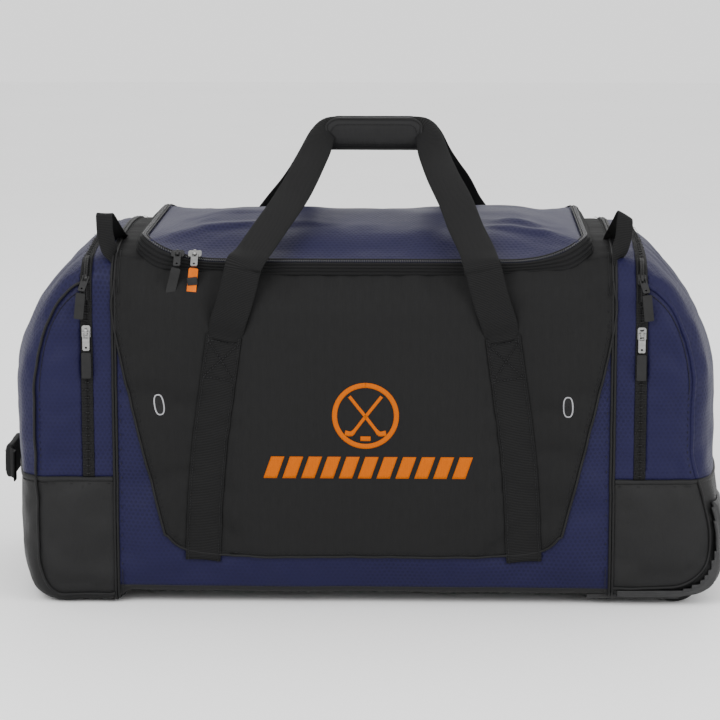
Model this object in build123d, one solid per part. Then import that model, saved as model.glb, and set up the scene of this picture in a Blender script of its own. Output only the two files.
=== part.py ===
"""Wheeled hockey equipment bag: soft body with a domed lid, two end pockets, carry handles and two wheels.

Millimetres, +Z up, X along the bag, the front faces -Y. The origin is the bottom centre of the whole object's box.
"""

import math
import os

from build123d import *

# ---------------------------------------------------------------- driving dimensions
HALF_LENGTH = 468.0  # fabric body, from the middle to an end
HALF_DEPTH = 215.0
DECK_Z = 440.0  # flat top around the lid's rim
BASE_Z = 14.0  # underside of the body at the wheel end
SHOULDER_R = 160.0  # rounded top outer corners
CORNER_R = 70.0  # rounded bottom outer corners
EDGE_R = 34.0  # front and rear edges
FABRIC = 2.5  # padded wall
LAYER = 1.2  # overlay panel
SEAM_X = 320.0  # wall between the main compartment and an end pocket
ZIP_X = 355.0  # end pocket's zip
POCKET_BASE_Z = 168.0  # top of the reinforced lower end
GAP = 0.3  # between pieces that move apart

LID_HALF_X = 285.0
LID_HALF_Y = 196.0
LID_CORNER = 30.0
RIM = 12.0  # height and width of the sloping rim round the lid
RIM_Z = DECK_Z + RIM
LID_RISE = 44.0
LID_END_R = 62.0  # rounded ends of the lid, seen from the front
LID_SKIRT = 8.0
COIL = 2.0  # radius of a zip's coil

VENT_X = 262.0
VENT_Z = 264.0

WEBBING = 50.0
STRAP = 3.0
LOOP_THICK = 2.5
LOOP_LEAN = 24.0
FOLD_CUT = 2.5  # from the fold over the front edge to the webbing on each side
SEWN_FOOT_Z = 63.0
STITCH_Z = 351.0  # where the handle webbing leaves the panel
HANDLE_EDGE = (-237.0, 446.0)  # y and z where the webbing turns over the front edge
GRIP_X = (-56.0, 74.0)
GRIP_Z = (574.0, 614.0)
BAR_Z = (581.0, 607.0)
BAR_Y = -10.0
GRIP_DEPTH = 20.0

WHEEL_X = 404.0
WHEEL_R = 38.0
WHEEL_Y = 176.0
WHEEL_WIDTH = 26.0
AXLE_R = 4.0
BEARING_R = 11.0
HUB_R = 28.0
HOUSING_R = 50.0

SCREW_X = (302.0, 338.0)
SCREW_DY = 14.0
SCREW_R = 2.5

END_HANDLE_Z = 153.0
END_STRAP_HALF = 13.5  # the strap ends below the flap's fold
END_HANDLE_REACH = 487.0
SHIFT_X = (END_HANDLE_REACH - HALF_LENGTH) / 2  # centres the object's box on the origin

PULL_LENGTH = 24.0
TAB_LENGTH = 36.0
PIN_Z = 7.0  # pull's pin above the fabric
LOWER_SLIDER_Z = 358.0
UPPER_SLIDER_ANGLE = 45.0  # the upper slider's place on the rounded front edge
ZIP_ARC_Z = 399.0  # centre of that rounding at the pocket zip
TILT = 40.0  # the main zip faces this far forward from straight up


# ---------------------------------------------------------------- helpers
def box(x, y, z):
    """A block from three (low, high) pairs."""
    size = [abs(b - a) for a, b in (x, y, z)]
    centre = [(a + b) / 2 for a, b in (x, y, z)]
    return Pos(*centre) * Box(*size)


def cylinder_y(x, y, z, radius):
    """A cylinder along Y between the two y values."""
    low, high = y
    return Pos(x, (low + high) / 2, z) * Rot(90, 0, 0) * Cylinder(radius, high - low)


def save(name, shape):
    solids = [s.moved(Location((SHIFT_X, 0, 0))) for s in shape.solids()]
    export_step(solids[0] if len(solids) == 1 else Compound(children=solids), f"parts/{name}.step")


def envelope(inset=0.0, base=BASE_Z):
    """The body's outer shape, drawn in by inset."""
    hx, top, low = HALF_LENGTH - inset, DECK_Z - inset, base + inset
    rs, rc, depth = SHOULDER_R - inset, CORNER_R - inset, HALF_DEPTH - inset
    k = math.sqrt(0.5)
    outline = []
    for side in (1, -1):
        outline += [
            ThreePointArc(
                (side * (hx - rc), low),
                (side * (hx - rc + rc * k), low + rc - rc * k),
                (side * hx, low + rc),
            ),
            Line((side * hx, low + rc), (side * hx, top - rs)),
            ThreePointArc(
                (side * hx, top - rs),
                (side * (hx - rs + rs * k), top - rs + rs * k),
                (side * (hx - rs), top),
            ),
        ]
    outline += [Line((-(hx - rc), low), (hx - rc, low)), Line((-(hx - rs), top), (hx - rs, top))]
    solid = extrude(Plane.XZ * make_face(outline), amount=depth, both=True)
    rims = solid.edges().filter_by(lambda e: abs(abs(e.center().Y) - depth) < 0.01)
    return fillet(rims, EDGE_R - inset)


def plan(offset):
    """The lid's outline seen from above, grown by offset."""
    return RectangleRounded(
        2 * (LID_HALF_X + offset), 2 * (LID_HALF_Y + offset), LID_CORNER + offset
    )


def ring(inner, outer, z):
    """A band round the lid's outline between two offsets."""
    low, high = z
    return Pos(0, 0, low) * extrude(plan(outer) - plan(inner), amount=high - low)


def slab(x, z=(-50.0, 700.0)):
    return box(x, (-400.0, 400.0), z)


def ribbon(points, thickness, x):
    """A strip of webbing: a path in the YZ plane, thickened and run along X."""
    normals = []
    for a, b in zip(points, points[1:]):
        length = math.dist(a, b)
        normals.append((-(b[1] - a[1]) / length, (b[0] - a[0]) / length))
    sides = ([], [])
    for i, p in enumerate(points):
        before, after = normals[max(i - 1, 0)], normals[min(i, len(normals) - 1)]
        mean = (before[0] + after[0], before[1] + after[1])
        scale = 2 / (mean[0] ** 2 + mean[1] ** 2) * thickness / 2
        for side, sign in zip(sides, (1, -1)):
            side.append((p[0] + sign * scale * mean[0], p[1] + sign * scale * mean[1]))
    face = make_face(Polyline(*sides[0], *reversed(sides[1]), close=True))
    low, high = x
    # Plane.YZ has its normal along +X
    return Pos(low, 0, 0) * extrude(Plane.YZ * face, amount=high - low)


def prism_y(points, y=(-300.0, 300.0)):
    """A polygon given in x and z, run along Y."""
    low, high = y
    face = Plane.XZ * make_face(Polyline(*points, close=True))
    return Pos(0, high, 0) * extrude(face, amount=high - low)


def mirror_y(shape):
    return mirror(shape, about=Plane.XZ)


OUTER = envelope()
SHELL = OUTER - envelope(FABRIC)
LOW_SHELL = envelope(0, 0.0) - envelope(FABRIC, 0.0)  # the end that has no wheels sits lower
COIL_SKIN = envelope(-1.5) - OUTER


# ---------------------------------------------------------------- main compartment
def vent_slot(width, height, y):
    """An upright slot at each side of the front panel."""
    one = Plane.XZ * SlotOverall(height, width, rotation=90)
    low, high = y
    solid = Pos(0, high, 0) * extrude(one, amount=high - low)
    return Pos(VENT_X, 0, VENT_Z) * solid + Pos(-VENT_X, 0, VENT_Z) * solid


def main_compartment():
    inside = slab((-SEAM_X + 1, SEAM_X - 1))
    wall_top, seam = DECK_Z - EDGE_R, 20.0
    wall = SHELL & inside & box((-400, 400), (-300, 300), (seam, wall_top))
    save("main_body_walls", wall - vent_slot(7, 21, (-230, -200)))
    bottom = SHELL & inside & box((-400, 400), (-300, 300), (0, seam))
    save("bottom_panel", bottom - screw_shanks(-WHEEL_Y, (0, 30)) - screw_shanks(WHEEL_Y, (0, 30)))
    hill = Pos(0, 0, DECK_Z - 14) * extrude(plan(RIM), amount=RIM + 14)
    top_edges = hill.edges().filter_by(lambda e: abs(e.center().Z - RIM_Z) < 0.01)
    hill = chamfer(top_edges, RIM - 0.5)
    yoke = (SHELL & inside & slab((-400, 400), (wall_top, 500))) + hill
    opening = Pos(0, 0, 300) * extrude(plan(GAP), amount=200)
    save("top_yoke", yoke - opening)
    panel = [(-318, 405), (-318, 356), (-262, 106), (-250, 80), (-228, 67), (-200, 63)]
    outline = panel + [(-x, z) for x, z in reversed(panel)]
    front = prism_y(outline, (-HALF_DEPTH - LAYER, -HALF_DEPTH))
    save("front_panel", front - vent_slot(7, 21, (-230, -200)))
    save("rear_panel", mirror_y(front))
    rings = vent_slot(13, 27, (-HALF_DEPTH - LAYER - 1.8, -HALF_DEPTH - LAYER))
    save("vent_grommets", rings - vent_slot(7, 21, (-240, -200)))
    board = box((-312, 312), (-172, 172), (BASE_Z + FABRIC + 0.2, BASE_Z + FABRIC + 3.2))
    save("base_board", fillet(board.edges().filter_by(Axis.Z), 12))
    plates = envelope() & slab((SEAM_X - 1, SEAM_X + 1))
    low_plate = envelope(0, 0.0) & slab((-SEAM_X - 1, -SEAM_X + 1))
    save("pocket_dividers", plates + low_plate)
    piping = envelope(-2.0) - OUTER - envelope(0, 0.0)
    piping -= box((-400, 400), (-300, 300), (-50, BASE_Z + 30))
    save(
        "seam_piping",
        (piping & slab((SEAM_X - 1.5, SEAM_X + 1.5)))
        + (piping & slab((-SEAM_X - 1.5, -SEAM_X + 1.5))),
    )


# ---------------------------------------------------------------- lid
def dome(offset):
    """The lid's domed top: an arc from front to rear, with rounded ends."""
    radius = (LID_HALF_Y**2 + LID_RISE**2) / (2 * LID_RISE)
    top = RIM_Z + LID_RISE
    arc = Pos(0, 0, top - radius) * Rot(0, 90, 0) * Cylinder(radius + offset, 1400)
    ends = box((-LID_HALF_X - offset, LID_HALF_X + offset), (-300, 300), (200, top + offset))
    top_corners = ends.edges().filter_by(Axis.Y).group_by(Axis.Z)[-1]
    return arc & fillet(top_corners, LID_END_R + offset)


def lid():
    above = slab((-400, 400), (RIM_Z - LID_SKIRT, 600))
    outside = Pos(0, 0, 380) * extrude(plan(-GAP), amount=200)
    inside = Pos(0, 0, 300) * extrude(plan(-GAP - FABRIC), amount=300)
    save("lid", (dome(0) & outside & above) - (dome(-FABRIC) & inside))
    track = box((-400, 400), (-260, LID_HALF_Y - 45), (300, 600))
    coil_z = (RIM_Z - 1.0, RIM_Z + COIL + 0.5)
    tape = ((dome(1.2) - dome(0)) & ring(-12, -GAP, (RIM_Z, 500)) & track)
    coil = (ring(-GAP - COIL, -GAP, coil_z) - dome(0)) & track
    save("lid_zip", tape + coil)
    hill = Pos(0, 0, DECK_Z) * extrude(plan(RIM), amount=RIM)
    edges = hill.edges().filter_by(lambda e: abs(e.center().Z - RIM_Z) < 0.01)
    hill = chamfer(edges, RIM - 0.5)
    outer = Pos(0, 0, DECK_Z) * extrude(plan(RIM + 1.2), amount=RIM + 0.7)
    edges = outer.edges().filter_by(lambda e: abs(e.center().Z - RIM_Z - 0.7) < 0.01)
    outer = chamfer(edges, RIM - 0.5)
    tape = (outer - hill) & ring(0.6, 30, (DECK_Z + 1, 500)) & track
    coil = (ring(GAP, GAP + COIL, coil_z) - hill) & track
    save("body_zip", tape + coil)


# ---------------------------------------------------------------- end pockets
def end_pocket(name, side, shell):
    """side is -1 at the carry end and 1 at the wheel end."""
    def across(a, b):
        return slab((min(side * a, side * b), max(side * a, side * b)))

    low = box((-600, 600), (-300, 300), (-50, POCKET_BASE_Z))
    high = box((-600, 600), (-300, 300), (POCKET_BASE_Z + GAP, 600))
    base = shell & across(SEAM_X + 1, 600) & low
    if side > 0:
        for y in (-WHEEL_Y, WHEEL_Y):
            base -= housing_block(y) + wheel_slot(y) + screw_shanks(y, (0, 30))
        base = max(base.solids(), key=lambda s: s.volume)
    save(f"{name}_pocket_base", base)
    save(f"{name}_pocket_gusset", SHELL & across(SEAM_X + 1, ZIP_X - 4) & high)
    save(f"{name}_pocket_flap", SHELL & across(ZIP_X + 4, 600) & high)
    for part, a, b in (("inner", ZIP_X - 4, ZIP_X - 0.2), ("outer", ZIP_X + 0.2, ZIP_X + 4)):
        near, far = sorted((ZIP_X - 0.2 if part == "inner" else ZIP_X + 0.2,
                            ZIP_X - COIL - 0.2 if part == "inner" else ZIP_X + COIL + 0.2))
        tape = SHELL & across(a, b) & high
        coil = COIL_SKIN & across(near, far) & high
        save(f"{name}_zip_{part}", tape + coil)


def top_loop(side):
    """A grab loop of webbing sewn into the top seam, leaning outwards."""
    outside = [(-196, 0), (-190, 40), (-160, 60), (-100, 38), (-62, 0)]
    inside = [(-86, 0), (-112, 26), (-152, 42), (-172, 32), (-178, 0)]
    face = Plane.YZ * make_face(Polyline(*outside, *inside, close=True))
    arch = extrude(face, amount=LOOP_THICK / 2, both=True)
    return Pos(side * SEAM_X, 0, DECK_Z + 2.6) * Rot(0, side * LOOP_LEAN, 0) * arch


def leg(side, stations):
    """One leg of a handle seen from the front: height, distance from the middle and half width."""
    inner = [(side * x - half, z) for z, x, half in stations]
    outer = [(side * x + half, z) for z, x, half in reversed(stations)]
    return prism_y(inner + outer)


def legs(*stations):
    return leg(1, stations) + leg(-1, stations)


def handle():
    """The front handle: sewn webbing, the riser up to the front edge, the loop, half of the grip."""
    edge_y, edge_z = HANDLE_EDGE
    half = WEBBING / 2
    mid = -HALF_DEPTH - LAYER - STRAP / 2
    across = (-300, 300)
    sewn = box(across, (mid - STRAP / 2, mid + STRAP / 2), (SEWN_FOOT_Z, STITCH_Z))
    sewn &= legs((SEWN_FOOT_Z, 207, half), (200, 199, half), (STITCH_Z, 178, half))
    rise = [(mid, STITCH_Z + GAP), (-226, 372), (-234, 412), (edge_y + 0.2, edge_z - FOLD_CUT)]
    riser = ribbon(rise, STRAP, across)
    riser &= legs((STITCH_Z, 178, half), (edge_z, 157, half - 1))
    bar = (BAR_Y, BAR_Z[0])
    length = math.dist(HANDLE_EDGE, bar)
    start = tuple(e + FOLD_CUT * (t - e) / length for e, t in zip(HANDLE_EDGE, bar))
    sheet = ribbon([start, bar, (BAR_Y, BAR_Z[1])], STRAP, across)
    arch = prism_y([(-104, BAR_Z[0]), (104, BAR_Z[0]), (98, BAR_Z[1]), (-98, BAR_Z[1])])
    loop = sheet & (arch + legs((edge_z - 10, 158, half - 1), (BAR_Z[0], 86, 18)))
    grip = box(GRIP_X, (-GRIP_DEPTH, -0.25), GRIP_Z)
    grip = fillet(grip.edges().filter_by(Axis.X).group_by(Axis.Y)[0], 14)
    return sewn, riser, loop, grip - loop


def handles():
    sewn, *moving = handle()
    save("sewn_straps", sewn + mirror_y(sewn))
    for name, shape in zip(("riser", "handle_loop", "grip"), moving):
        save(f"front_{name}", shape)
        save(f"rear_{name}", mirror_y(shape))
    # the end handle is drawn in the XY plane
    path = [(-80, HALF_LENGTH + 0.1), (-62, HALF_LENGTH + 0.1), (-48, END_HANDLE_REACH - 6.5),
            (48, END_HANDLE_REACH - 6.5), (62, HALF_LENGTH + 0.1), (80, HALF_LENGTH + 0.1)]
    path = [(y, x + 1.25) for y, x in path]
    strip = ribbon(path, 2.5, (-END_STRAP_HALF, END_STRAP_HALF))
    strap = Pos(0, 0, END_HANDLE_Z) * Rot(0, -90, 0) * strip
    save("end_handle_strap", strap)
    grip = box((-END_HANDLE_REACH, -END_HANDLE_REACH + 10), (-44, 44),
               (END_HANDLE_Z - 20, END_HANDLE_Z + 20))
    grip = fillet(grip.edges().filter_by(Axis.Y), 4.5)
    save("end_handle_grip", grip - strap)
    save("left_top_loop", top_loop(-1))
    save("right_top_loop", top_loop(1))


# ---------------------------------------------------------------- wheels
def wheel_slot(y):
    half = WHEEL_WIDTH / 2 + 3
    slot = cylinder_y(WHEEL_X, (y - half, y + half), WHEEL_R, WHEEL_R + 3)
    return slot


def housing_block(y):
    """Outside of a wheel housing, one moulding at each corner."""
    half = WHEEL_WIDTH / 2 + 15
    block = cylinder_y(WHEEL_X, (y - half, y + half), WHEEL_R, HOUSING_R)
    block &= box((0, 600), (-300, 300), (8, 200))
    # the outer lower corner is cut back, so that the wheel stands proud of it
    reach = 24.0
    cut = Pos(WHEEL_X + (reach + 50) * math.sqrt(0.5), y, WHEEL_R - (reach + 50) * math.sqrt(0.5))
    block -= cut * Rot(0, 45, 0) * Box(100, 2 * half + 2, 300)
    flange = box((290, WHEEL_X), (y - half, y + half), (8, BASE_Z))
    return block + flange


def screw_shanks(y, z, radius=SCREW_R):
    """The four screws that hold one housing to the bottom."""
    low, high = z
    shanks = [
        Pos(x, y + dy, (low + high) / 2) * Cylinder(radius, high - low)
        for x in SCREW_X
        for dy in (-SCREW_DY, SCREW_DY)
    ]
    return Part() + shanks


def wheels():
    housings, axles = None, None
    for name, y in (("front", -WHEEL_Y), ("rear", WHEEL_Y)):
        half = WHEEL_WIDTH / 2
        slot = wheel_slot(y) + box((WHEEL_X - 30, 600), (y - half - 3, y + half + 3), (-10, WHEEL_R))
        hole = cylinder_y(WHEEL_X, (y - half - 30, y + half + 30), WHEEL_R, AXLE_R)
        housing = housing_block(y) - slot - hole
        axle = cylinder_y(WHEEL_X, (y - half - 15, y + half + 15), WHEEL_R, AXLE_R)
        tyre = cylinder_y(WHEEL_X, (y - half, y + half), WHEEL_R, WHEEL_R)
        tyre = fillet(tyre.edges(), 5)
        hub = cylinder_y(WHEEL_X, (y - half + 1, y + half - 1), WHEEL_R, HUB_R)
        save(f"{name}_tyre", tyre - hub - cylinder_y(WHEEL_X, (y - 40, y + 40), WHEEL_R, HUB_R))
        seats = None
        for s in (-1, 1):
            outer_face, inner_face = y + s * (half - 1), y + s * (half - 8)
            span = (min(outer_face, inner_face), max(outer_face, inner_face))
            seat = cylinder_y(WHEEL_X, span, WHEEL_R, BEARING_R)
            seats = seat if seats is None else seats + seat
        bore = cylinder_y(WHEEL_X, (y - 40, y + 40), WHEEL_R, AXLE_R + 0.05)
        hub = hub - seats - cylinder_y(WHEEL_X, (y - 40, y + 40), WHEEL_R, AXLE_R + 2)
        save(f"{name}_hub", hub)
        save(f"{name}_bearings", seats - bore)
        housing -= screw_shanks(y, (0, 30))
        housings = housing if housings is None else housings + housing
        axles = axle if axles is None else axles + axle
    save("wheel_housings", housings)
    save("axles", axles)
    shanks = screw_shanks(-WHEEL_Y, (8, BASE_Z + FABRIC)) + screw_shanks(WHEEL_Y, (8, BASE_Z + FABRIC))
    save("housing_screws", shanks + screw_shanks(-WHEEL_Y, (6, 8), 5.0) + screw_shanks(WHEEL_Y, (6, 8), 5.0))


# ---------------------------------------------------------------- zip sliders
def slider_parts():
    """A slider, its metal pull and its soft tab: X across, Y up the zip, Z out of the fabric."""
    plate = box((-5.5, 5.5), (-8.5, 8.5), (2.2, 5.0))
    plate = fillet(plate.edges().filter_by(Axis.Z), 3.0)
    bridge = box((-1.5, 1.5), (-4.5, 4.5), (5.0, 9.2))
    bridge = fillet(bridge.edges().filter_by(Axis.X).group_by(Axis.Z)[-1], 2.5)
    hole = Pos(0, 0, PIN_Z) * Rot(0, 90, 0) * Cylinder(1.3, 10)
    slider = plate + bridge - hole
    arms = box((-4.5, 4.5), (-PULL_LENGTH, 0), (6.1, 7.9)) - box((-2.9, 2.9), (-8, 2), (0, 20))
    arms = fillet(arms.edges().filter_by(Axis.Z).group_by(Axis.Y)[0], 2.0)
    pin = Pos(0, 0, PIN_Z) * Rot(0, 90, 0) * Cylinder(0.9, 9.0)
    eye = Pos(0, -PULL_LENGTH + 4, PIN_Z) * Cylinder(1.4, 10)
    tab = box((-6, 6), (-TAB_LENGTH, -2.5), (-1.2, 1.2))
    tab = fillet(tab.edges().filter_by(Axis.Z), 2.0)
    return slider, arms + pin - eye, tab


def hang(place, lean=0.0):
    """Where the tab hangs, straight down from the end of the pull at place."""
    end = (place * Pos(0, -PULL_LENGTH, PIN_Z)).position
    return Plane(end, x_dir=(1, 0, 0), z_dir=(0, -1, 0)).location * Rot(0, 0, lean)


def pocket_sliders():
    slider, pull, tab = slider_parts()
    arc_y = -HALF_DEPTH + EDGE_R
    tilt = math.radians(UPPER_SLIDER_ANGLE)
    out = (0, -math.cos(tilt), math.sin(tilt))
    on_arc = (arc_y + EDGE_R * out[1], ZIP_ARC_Z + EDGE_R * out[2])
    for name, side in (("left", -1), ("right", 1)):
        lower = Plane((side * ZIP_X, -HALF_DEPTH, LOWER_SLIDER_Z), x_dir=(1, 0, 0), z_dir=(0, -1, 0))
        upper = Plane((side * ZIP_X, *on_arc), x_dir=(1, 0, 0), z_dir=out)
        for level, plane, lean in (("lower", lower, 0.0), ("upper", upper, side * 12.0)):
            swung = plane.location * Rot(0, 0, lean)
            save(f"{name}_{level}_slider", plane.location * slider)
            save(f"{name}_{level}_pull", swung * pull)
            save(f"{name}_{level}_tab", hang(swung, lean / 2) * tab)


def main_sliders():
    slider, pull, tab = turned_slider(), *slider_parts()[1:]
    s, c = math.sin(math.radians(TILT)), math.cos(math.radians(TILT))
    for name, x, lean in (("main_right", -216.0, -6.0), ("main_left", -238.0, -14.0)):
        origin = (x, -LID_HALF_Y - 1.8 * s, RIM_Z + 1.8 * c)
        sloping = Plane(origin, x_dir=(1, 0, 0), z_dir=(0, -s, c)).location
        save(f"{name}_slider", sloping * slider)
        save(f"{name}_pull", sloping * pull)
        save(f"{name}_tab", hang(sloping, lean) * tab)


def turned_slider():
    """The main zip's slider lies across its pull: the plate is turned under the same bridge."""
    slider, _, _ = slider_parts()
    plate = slider & box((-20, 20), (-20, 20), (0, 5.0))
    bridge = slider & box((-20, 20), (-20, 20), (5.0, 20))
    return Rot(0, 0, 90) * plate + bridge


os.makedirs("parts", exist_ok=True)
main_compartment()
lid()
end_pocket("left", -1, LOW_SHELL)
end_pocket("right", 1, SHELL)
handles()
wheels()
pocket_sliders()
main_sliders()
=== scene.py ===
"""Looks of a wheeled hockey bag: filled fabric skin, straps, zips, padded grips, wheels."""

import math

import bmesh
import bpy
import numpy as np
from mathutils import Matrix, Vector
from mathutils.bvhtree import BVHTree
from mathutils.kdtree import KDTree


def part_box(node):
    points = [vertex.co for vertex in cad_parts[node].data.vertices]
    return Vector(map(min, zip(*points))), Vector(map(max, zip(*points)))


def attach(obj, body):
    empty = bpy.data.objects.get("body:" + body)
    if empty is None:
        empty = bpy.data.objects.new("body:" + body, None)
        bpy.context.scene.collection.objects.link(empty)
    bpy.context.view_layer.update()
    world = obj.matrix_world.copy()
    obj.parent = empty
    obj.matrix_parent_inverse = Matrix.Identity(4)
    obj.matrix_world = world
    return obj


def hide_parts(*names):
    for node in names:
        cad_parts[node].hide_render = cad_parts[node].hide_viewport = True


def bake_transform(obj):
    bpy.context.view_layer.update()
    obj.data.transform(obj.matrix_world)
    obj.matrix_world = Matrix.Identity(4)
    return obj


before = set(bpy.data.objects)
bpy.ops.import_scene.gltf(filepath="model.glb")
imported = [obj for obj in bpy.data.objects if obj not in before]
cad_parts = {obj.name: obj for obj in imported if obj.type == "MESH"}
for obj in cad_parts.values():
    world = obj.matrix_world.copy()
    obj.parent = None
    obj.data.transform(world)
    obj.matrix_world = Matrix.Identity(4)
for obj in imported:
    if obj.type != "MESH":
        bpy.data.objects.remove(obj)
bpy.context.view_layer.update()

# ---------------------------------------------------------------- sizes, read from the frame
MIDDLE = sum(corner.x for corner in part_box("main_body_walls")) / 2
HALF_LENGTH = (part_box("right_pocket_flap")[1].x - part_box("left_pocket_flap")[0].x) / 2
HALF_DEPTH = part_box("main_body_walls")[1].y
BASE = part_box("bottom_panel")[0].z
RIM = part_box("top_yoke")[1].z
DECK = RIM - 0.012  # the cloth round the lid, below the rim of the opening
POCKET_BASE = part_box("left_pocket_base")[1].z  # top of the coated lower ends
SEAM = 0.320  # the upright seams, from the middle
ZIP = 0.355  # the pockets' zips, from the middle
TAPE_HALF = 0.0075  # half of a pocket zip's tape
BOTTOM_STRIP = 0.024  # top of the bottom sheet
YOKE_Y = 0.196  # half depth of the black cloth round the lid
LID_X = (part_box("lid")[1].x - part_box("lid")[0].x) / 2
LID_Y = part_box("lid")[1].y
LID_CORNER = 0.030
LID_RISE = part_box("lid")[1].z - RIM
SHOULDER = 0.160  # rounding of the upper outer corners, seen from the front
CORNER = 0.070  # rounding of the lower outer corners
EDGE = 0.034  # rounding of the front and rear edges
END_BOW = 0.026  # how far an end's corners lie behind its middle
END_TUCK = 0.007  # how far a whole end lies behind the CAD's
WHEEL_GAP = 0.034
WHEEL_X = (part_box("front_tyre")[0].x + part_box("front_tyre")[1].x) / 2 - MIDDLE
WHEEL_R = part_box("front_tyre")[1].z / 2
WHEEL_Y = -(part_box("front_tyre")[0].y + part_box("front_tyre")[1].y) / 2
END_STRAP_HOLD = 0.122  # height where the pull handle's strap stiffens the end
VENT = (0.262, (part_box("vent_grommets")[0].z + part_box("vent_grommets")[1].z) / 2)

# the front overlay's right half, from the top down: x and z
OVERLAY = [(0.3185, 0.420), (0.3185, 0.356), (0.262, 0.118), (0.2525, 0.094), (0.237, 0.078),
           (0.215, 0.070), (0.190, 0.068)]
STRAP_LINE = [(0.068, 0.207), (0.200, 0.199), (0.351, 0.178)]  # height and distance from the middle


# ---------------------------------------------------------------- small maths
def unit(v):
    return v / np.maximum(np.linalg.norm(v, axis=-1, keepdims=True), 1e-9)


def smooth(a, b, x):
    t = np.clip((x - a) / (b - a), 0, 1)
    return t * t * (3 - 2 * t)


def hashed(i, j, k, seed):
    h = np.sin(i * 127.1 + j * 311.7 + k * 74.7 + seed * 53.3) * 43758.5453
    return h - np.floor(h)


def value_noise(p, scale, seed=0):
    """Smooth noise between -1 and 1 at the points p, with features of the given size in metres."""
    q = p / scale
    cell = np.floor(q)
    f = q - cell
    f = f * f * f * (f * (f * 6 - 15) + 10)
    total = 0
    for di in (0, 1):
        for dj in (0, 1):
            for dk in (0, 1):
                w = np.where(di, f[:, 0], 1 - f[:, 0])
                w = w * np.where(dj, f[:, 1], 1 - f[:, 1])
                w = w * np.where(dk, f[:, 2], 1 - f[:, 2])
                total = total + w * hashed(cell[:, 0] + di, cell[:, 1] + dj, cell[:, 2] + dk, seed)
    return total * 2 - 1


def curve_through(points, count):
    """Catmull-Rom through the points, count samples evenly spaced along it."""
    p = np.array(points, float)
    p = np.vstack([2 * p[0] - p[1], p, 2 * p[-1] - p[-2]])
    fine = []
    for i in range(1, len(p) - 2):
        for t in np.linspace(0, 1, 24, endpoint=False):
            a, b, c, d = p[i - 1], p[i], p[i + 1], p[i + 2]
            fine.append(0.5 * (2 * b + (c - a) * t + (2 * a - 5 * b + 4 * c - d) * t**2
                               + (3 * b - a - 3 * c + d) * t**3))
    fine.append(p[-2])
    return resample(np.array(fine), count)


def distance_along(line):
    """Each point's distance from the start of the line."""
    return np.concatenate([[0], np.cumsum(np.linalg.norm(np.diff(line, axis=0), axis=1))])


def heading(line):
    """The direction of the line at each of its points."""
    return unit(np.gradient(line, axis=0))


def sideways(way):
    """Directions in a plane, turned a quarter to the right."""
    return np.stack([way[:, 1], -way[:, 0]], axis=1)


def squared(value, power):
    """A sine or cosine with its sign kept and its size raised to power: below 1, a circle turns into a box."""
    return math.copysign(abs(value) ** power, value)


def resample(line, count):
    """count points spaced evenly along the line."""
    at = distance_along(line)
    want = np.linspace(0, at[-1], count)
    return np.stack([np.interp(want, at, line[:, k]) for k in range(line.shape[1])], axis=1)


def line_length(line):
    return float(np.linalg.norm(np.diff(line, axis=0), axis=1).sum())


# ---------------------------------------------------------------- the filled body's outer shape
def core_point(q):
    """The closest point of the inner core, whose distance to the body's surface is EDGE everywhere."""
    half_x, half_y = HALF_LENGTH - EDGE, HALF_DEPTH - EDGE
    low, high = BASE + EDGE, DECK - EDGE
    c = np.stack([np.clip(q[:, 0], -half_x, half_x), np.clip(q[:, 1], -half_y, half_y),
                  np.clip(q[:, 2], low, high)], axis=1)
    for radius, up in ((SHOULDER - EDGE, 1), (CORNER - EDGE, -1)):
        cx = half_x - radius
        cz = high - radius if up > 0 else low + radius
        dx, dz = np.abs(q[:, 0]) - cx, (q[:, 2] - cz) * up
        d = np.hypot(dx, dz)
        inside = (dx > 0) & (dz > 0) & (d > radius)
        k = radius / np.maximum(d, 1e-9)
        c[:, 0] = np.where(inside, np.sign(q[:, 0]) * (cx + dx * k), c[:, 0])
        c[:, 2] = np.where(inside, cz + up * dz * k, c[:, 2])
    return c


def on_skin(q):
    """Point and outward normal on the body's surface nearest to q, which lies outside it."""
    c = core_point(q)
    n = unit(q - c)
    # the bottom edges are squarer than the top ones
    low = smooth(0.0, 0.7, -n[:, 2])
    power = 2 + 3 * low
    flat = np.abs(n)
    fullness = (flat[:, 0] ** power + flat[:, 1] ** power + flat[:, 2] ** power) ** (-1 / power)
    p = c + EDGE * n * fullness[:, None]
    # the end without wheels sits on the floor
    sink = smooth(0.300, 0.330, -p[:, 0]) * smooth(0.110, 0.030, p[:, 2])
    p[:, 2] -= BASE * sink
    # the ends are bowed: their corners lie further in than their middle
    bow = END_BOW * smooth(0.350, 0.466, np.abs(p[:, 0])) * (np.abs(p[:, 1]) / HALF_DEPTH) ** 2.4
    bow += END_TUCK * smooth(0.400, 0.466, np.abs(p[:, 0]))
    # the wheel housings hold their corners out
    bow *= 1 - 0.85 * smooth(0.210, 0.085, p[:, 2]) * (p[:, 0] > 0)
    p[:, 0] -= np.sign(p[:, 0]) * bow
    return p, n


def box_ring(x, count=260):
    """A box round the section at x, from the middle of the top forward and down."""
    d, top, low = HALF_DEPTH + 0.01, DECK + 0.01, BASE - 0.01
    corners = np.array([(x, 0, top), (x, -d, top), (x, -d, low), (x, 0, low),
                        (x, d, low), (x, d, top), (x, 0, top)])
    return resample(corners, count)


def grid_lines(low, high, step):
    return np.append(np.linspace(low, high, round((high - low) / step), endpoint=False), high)


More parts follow.
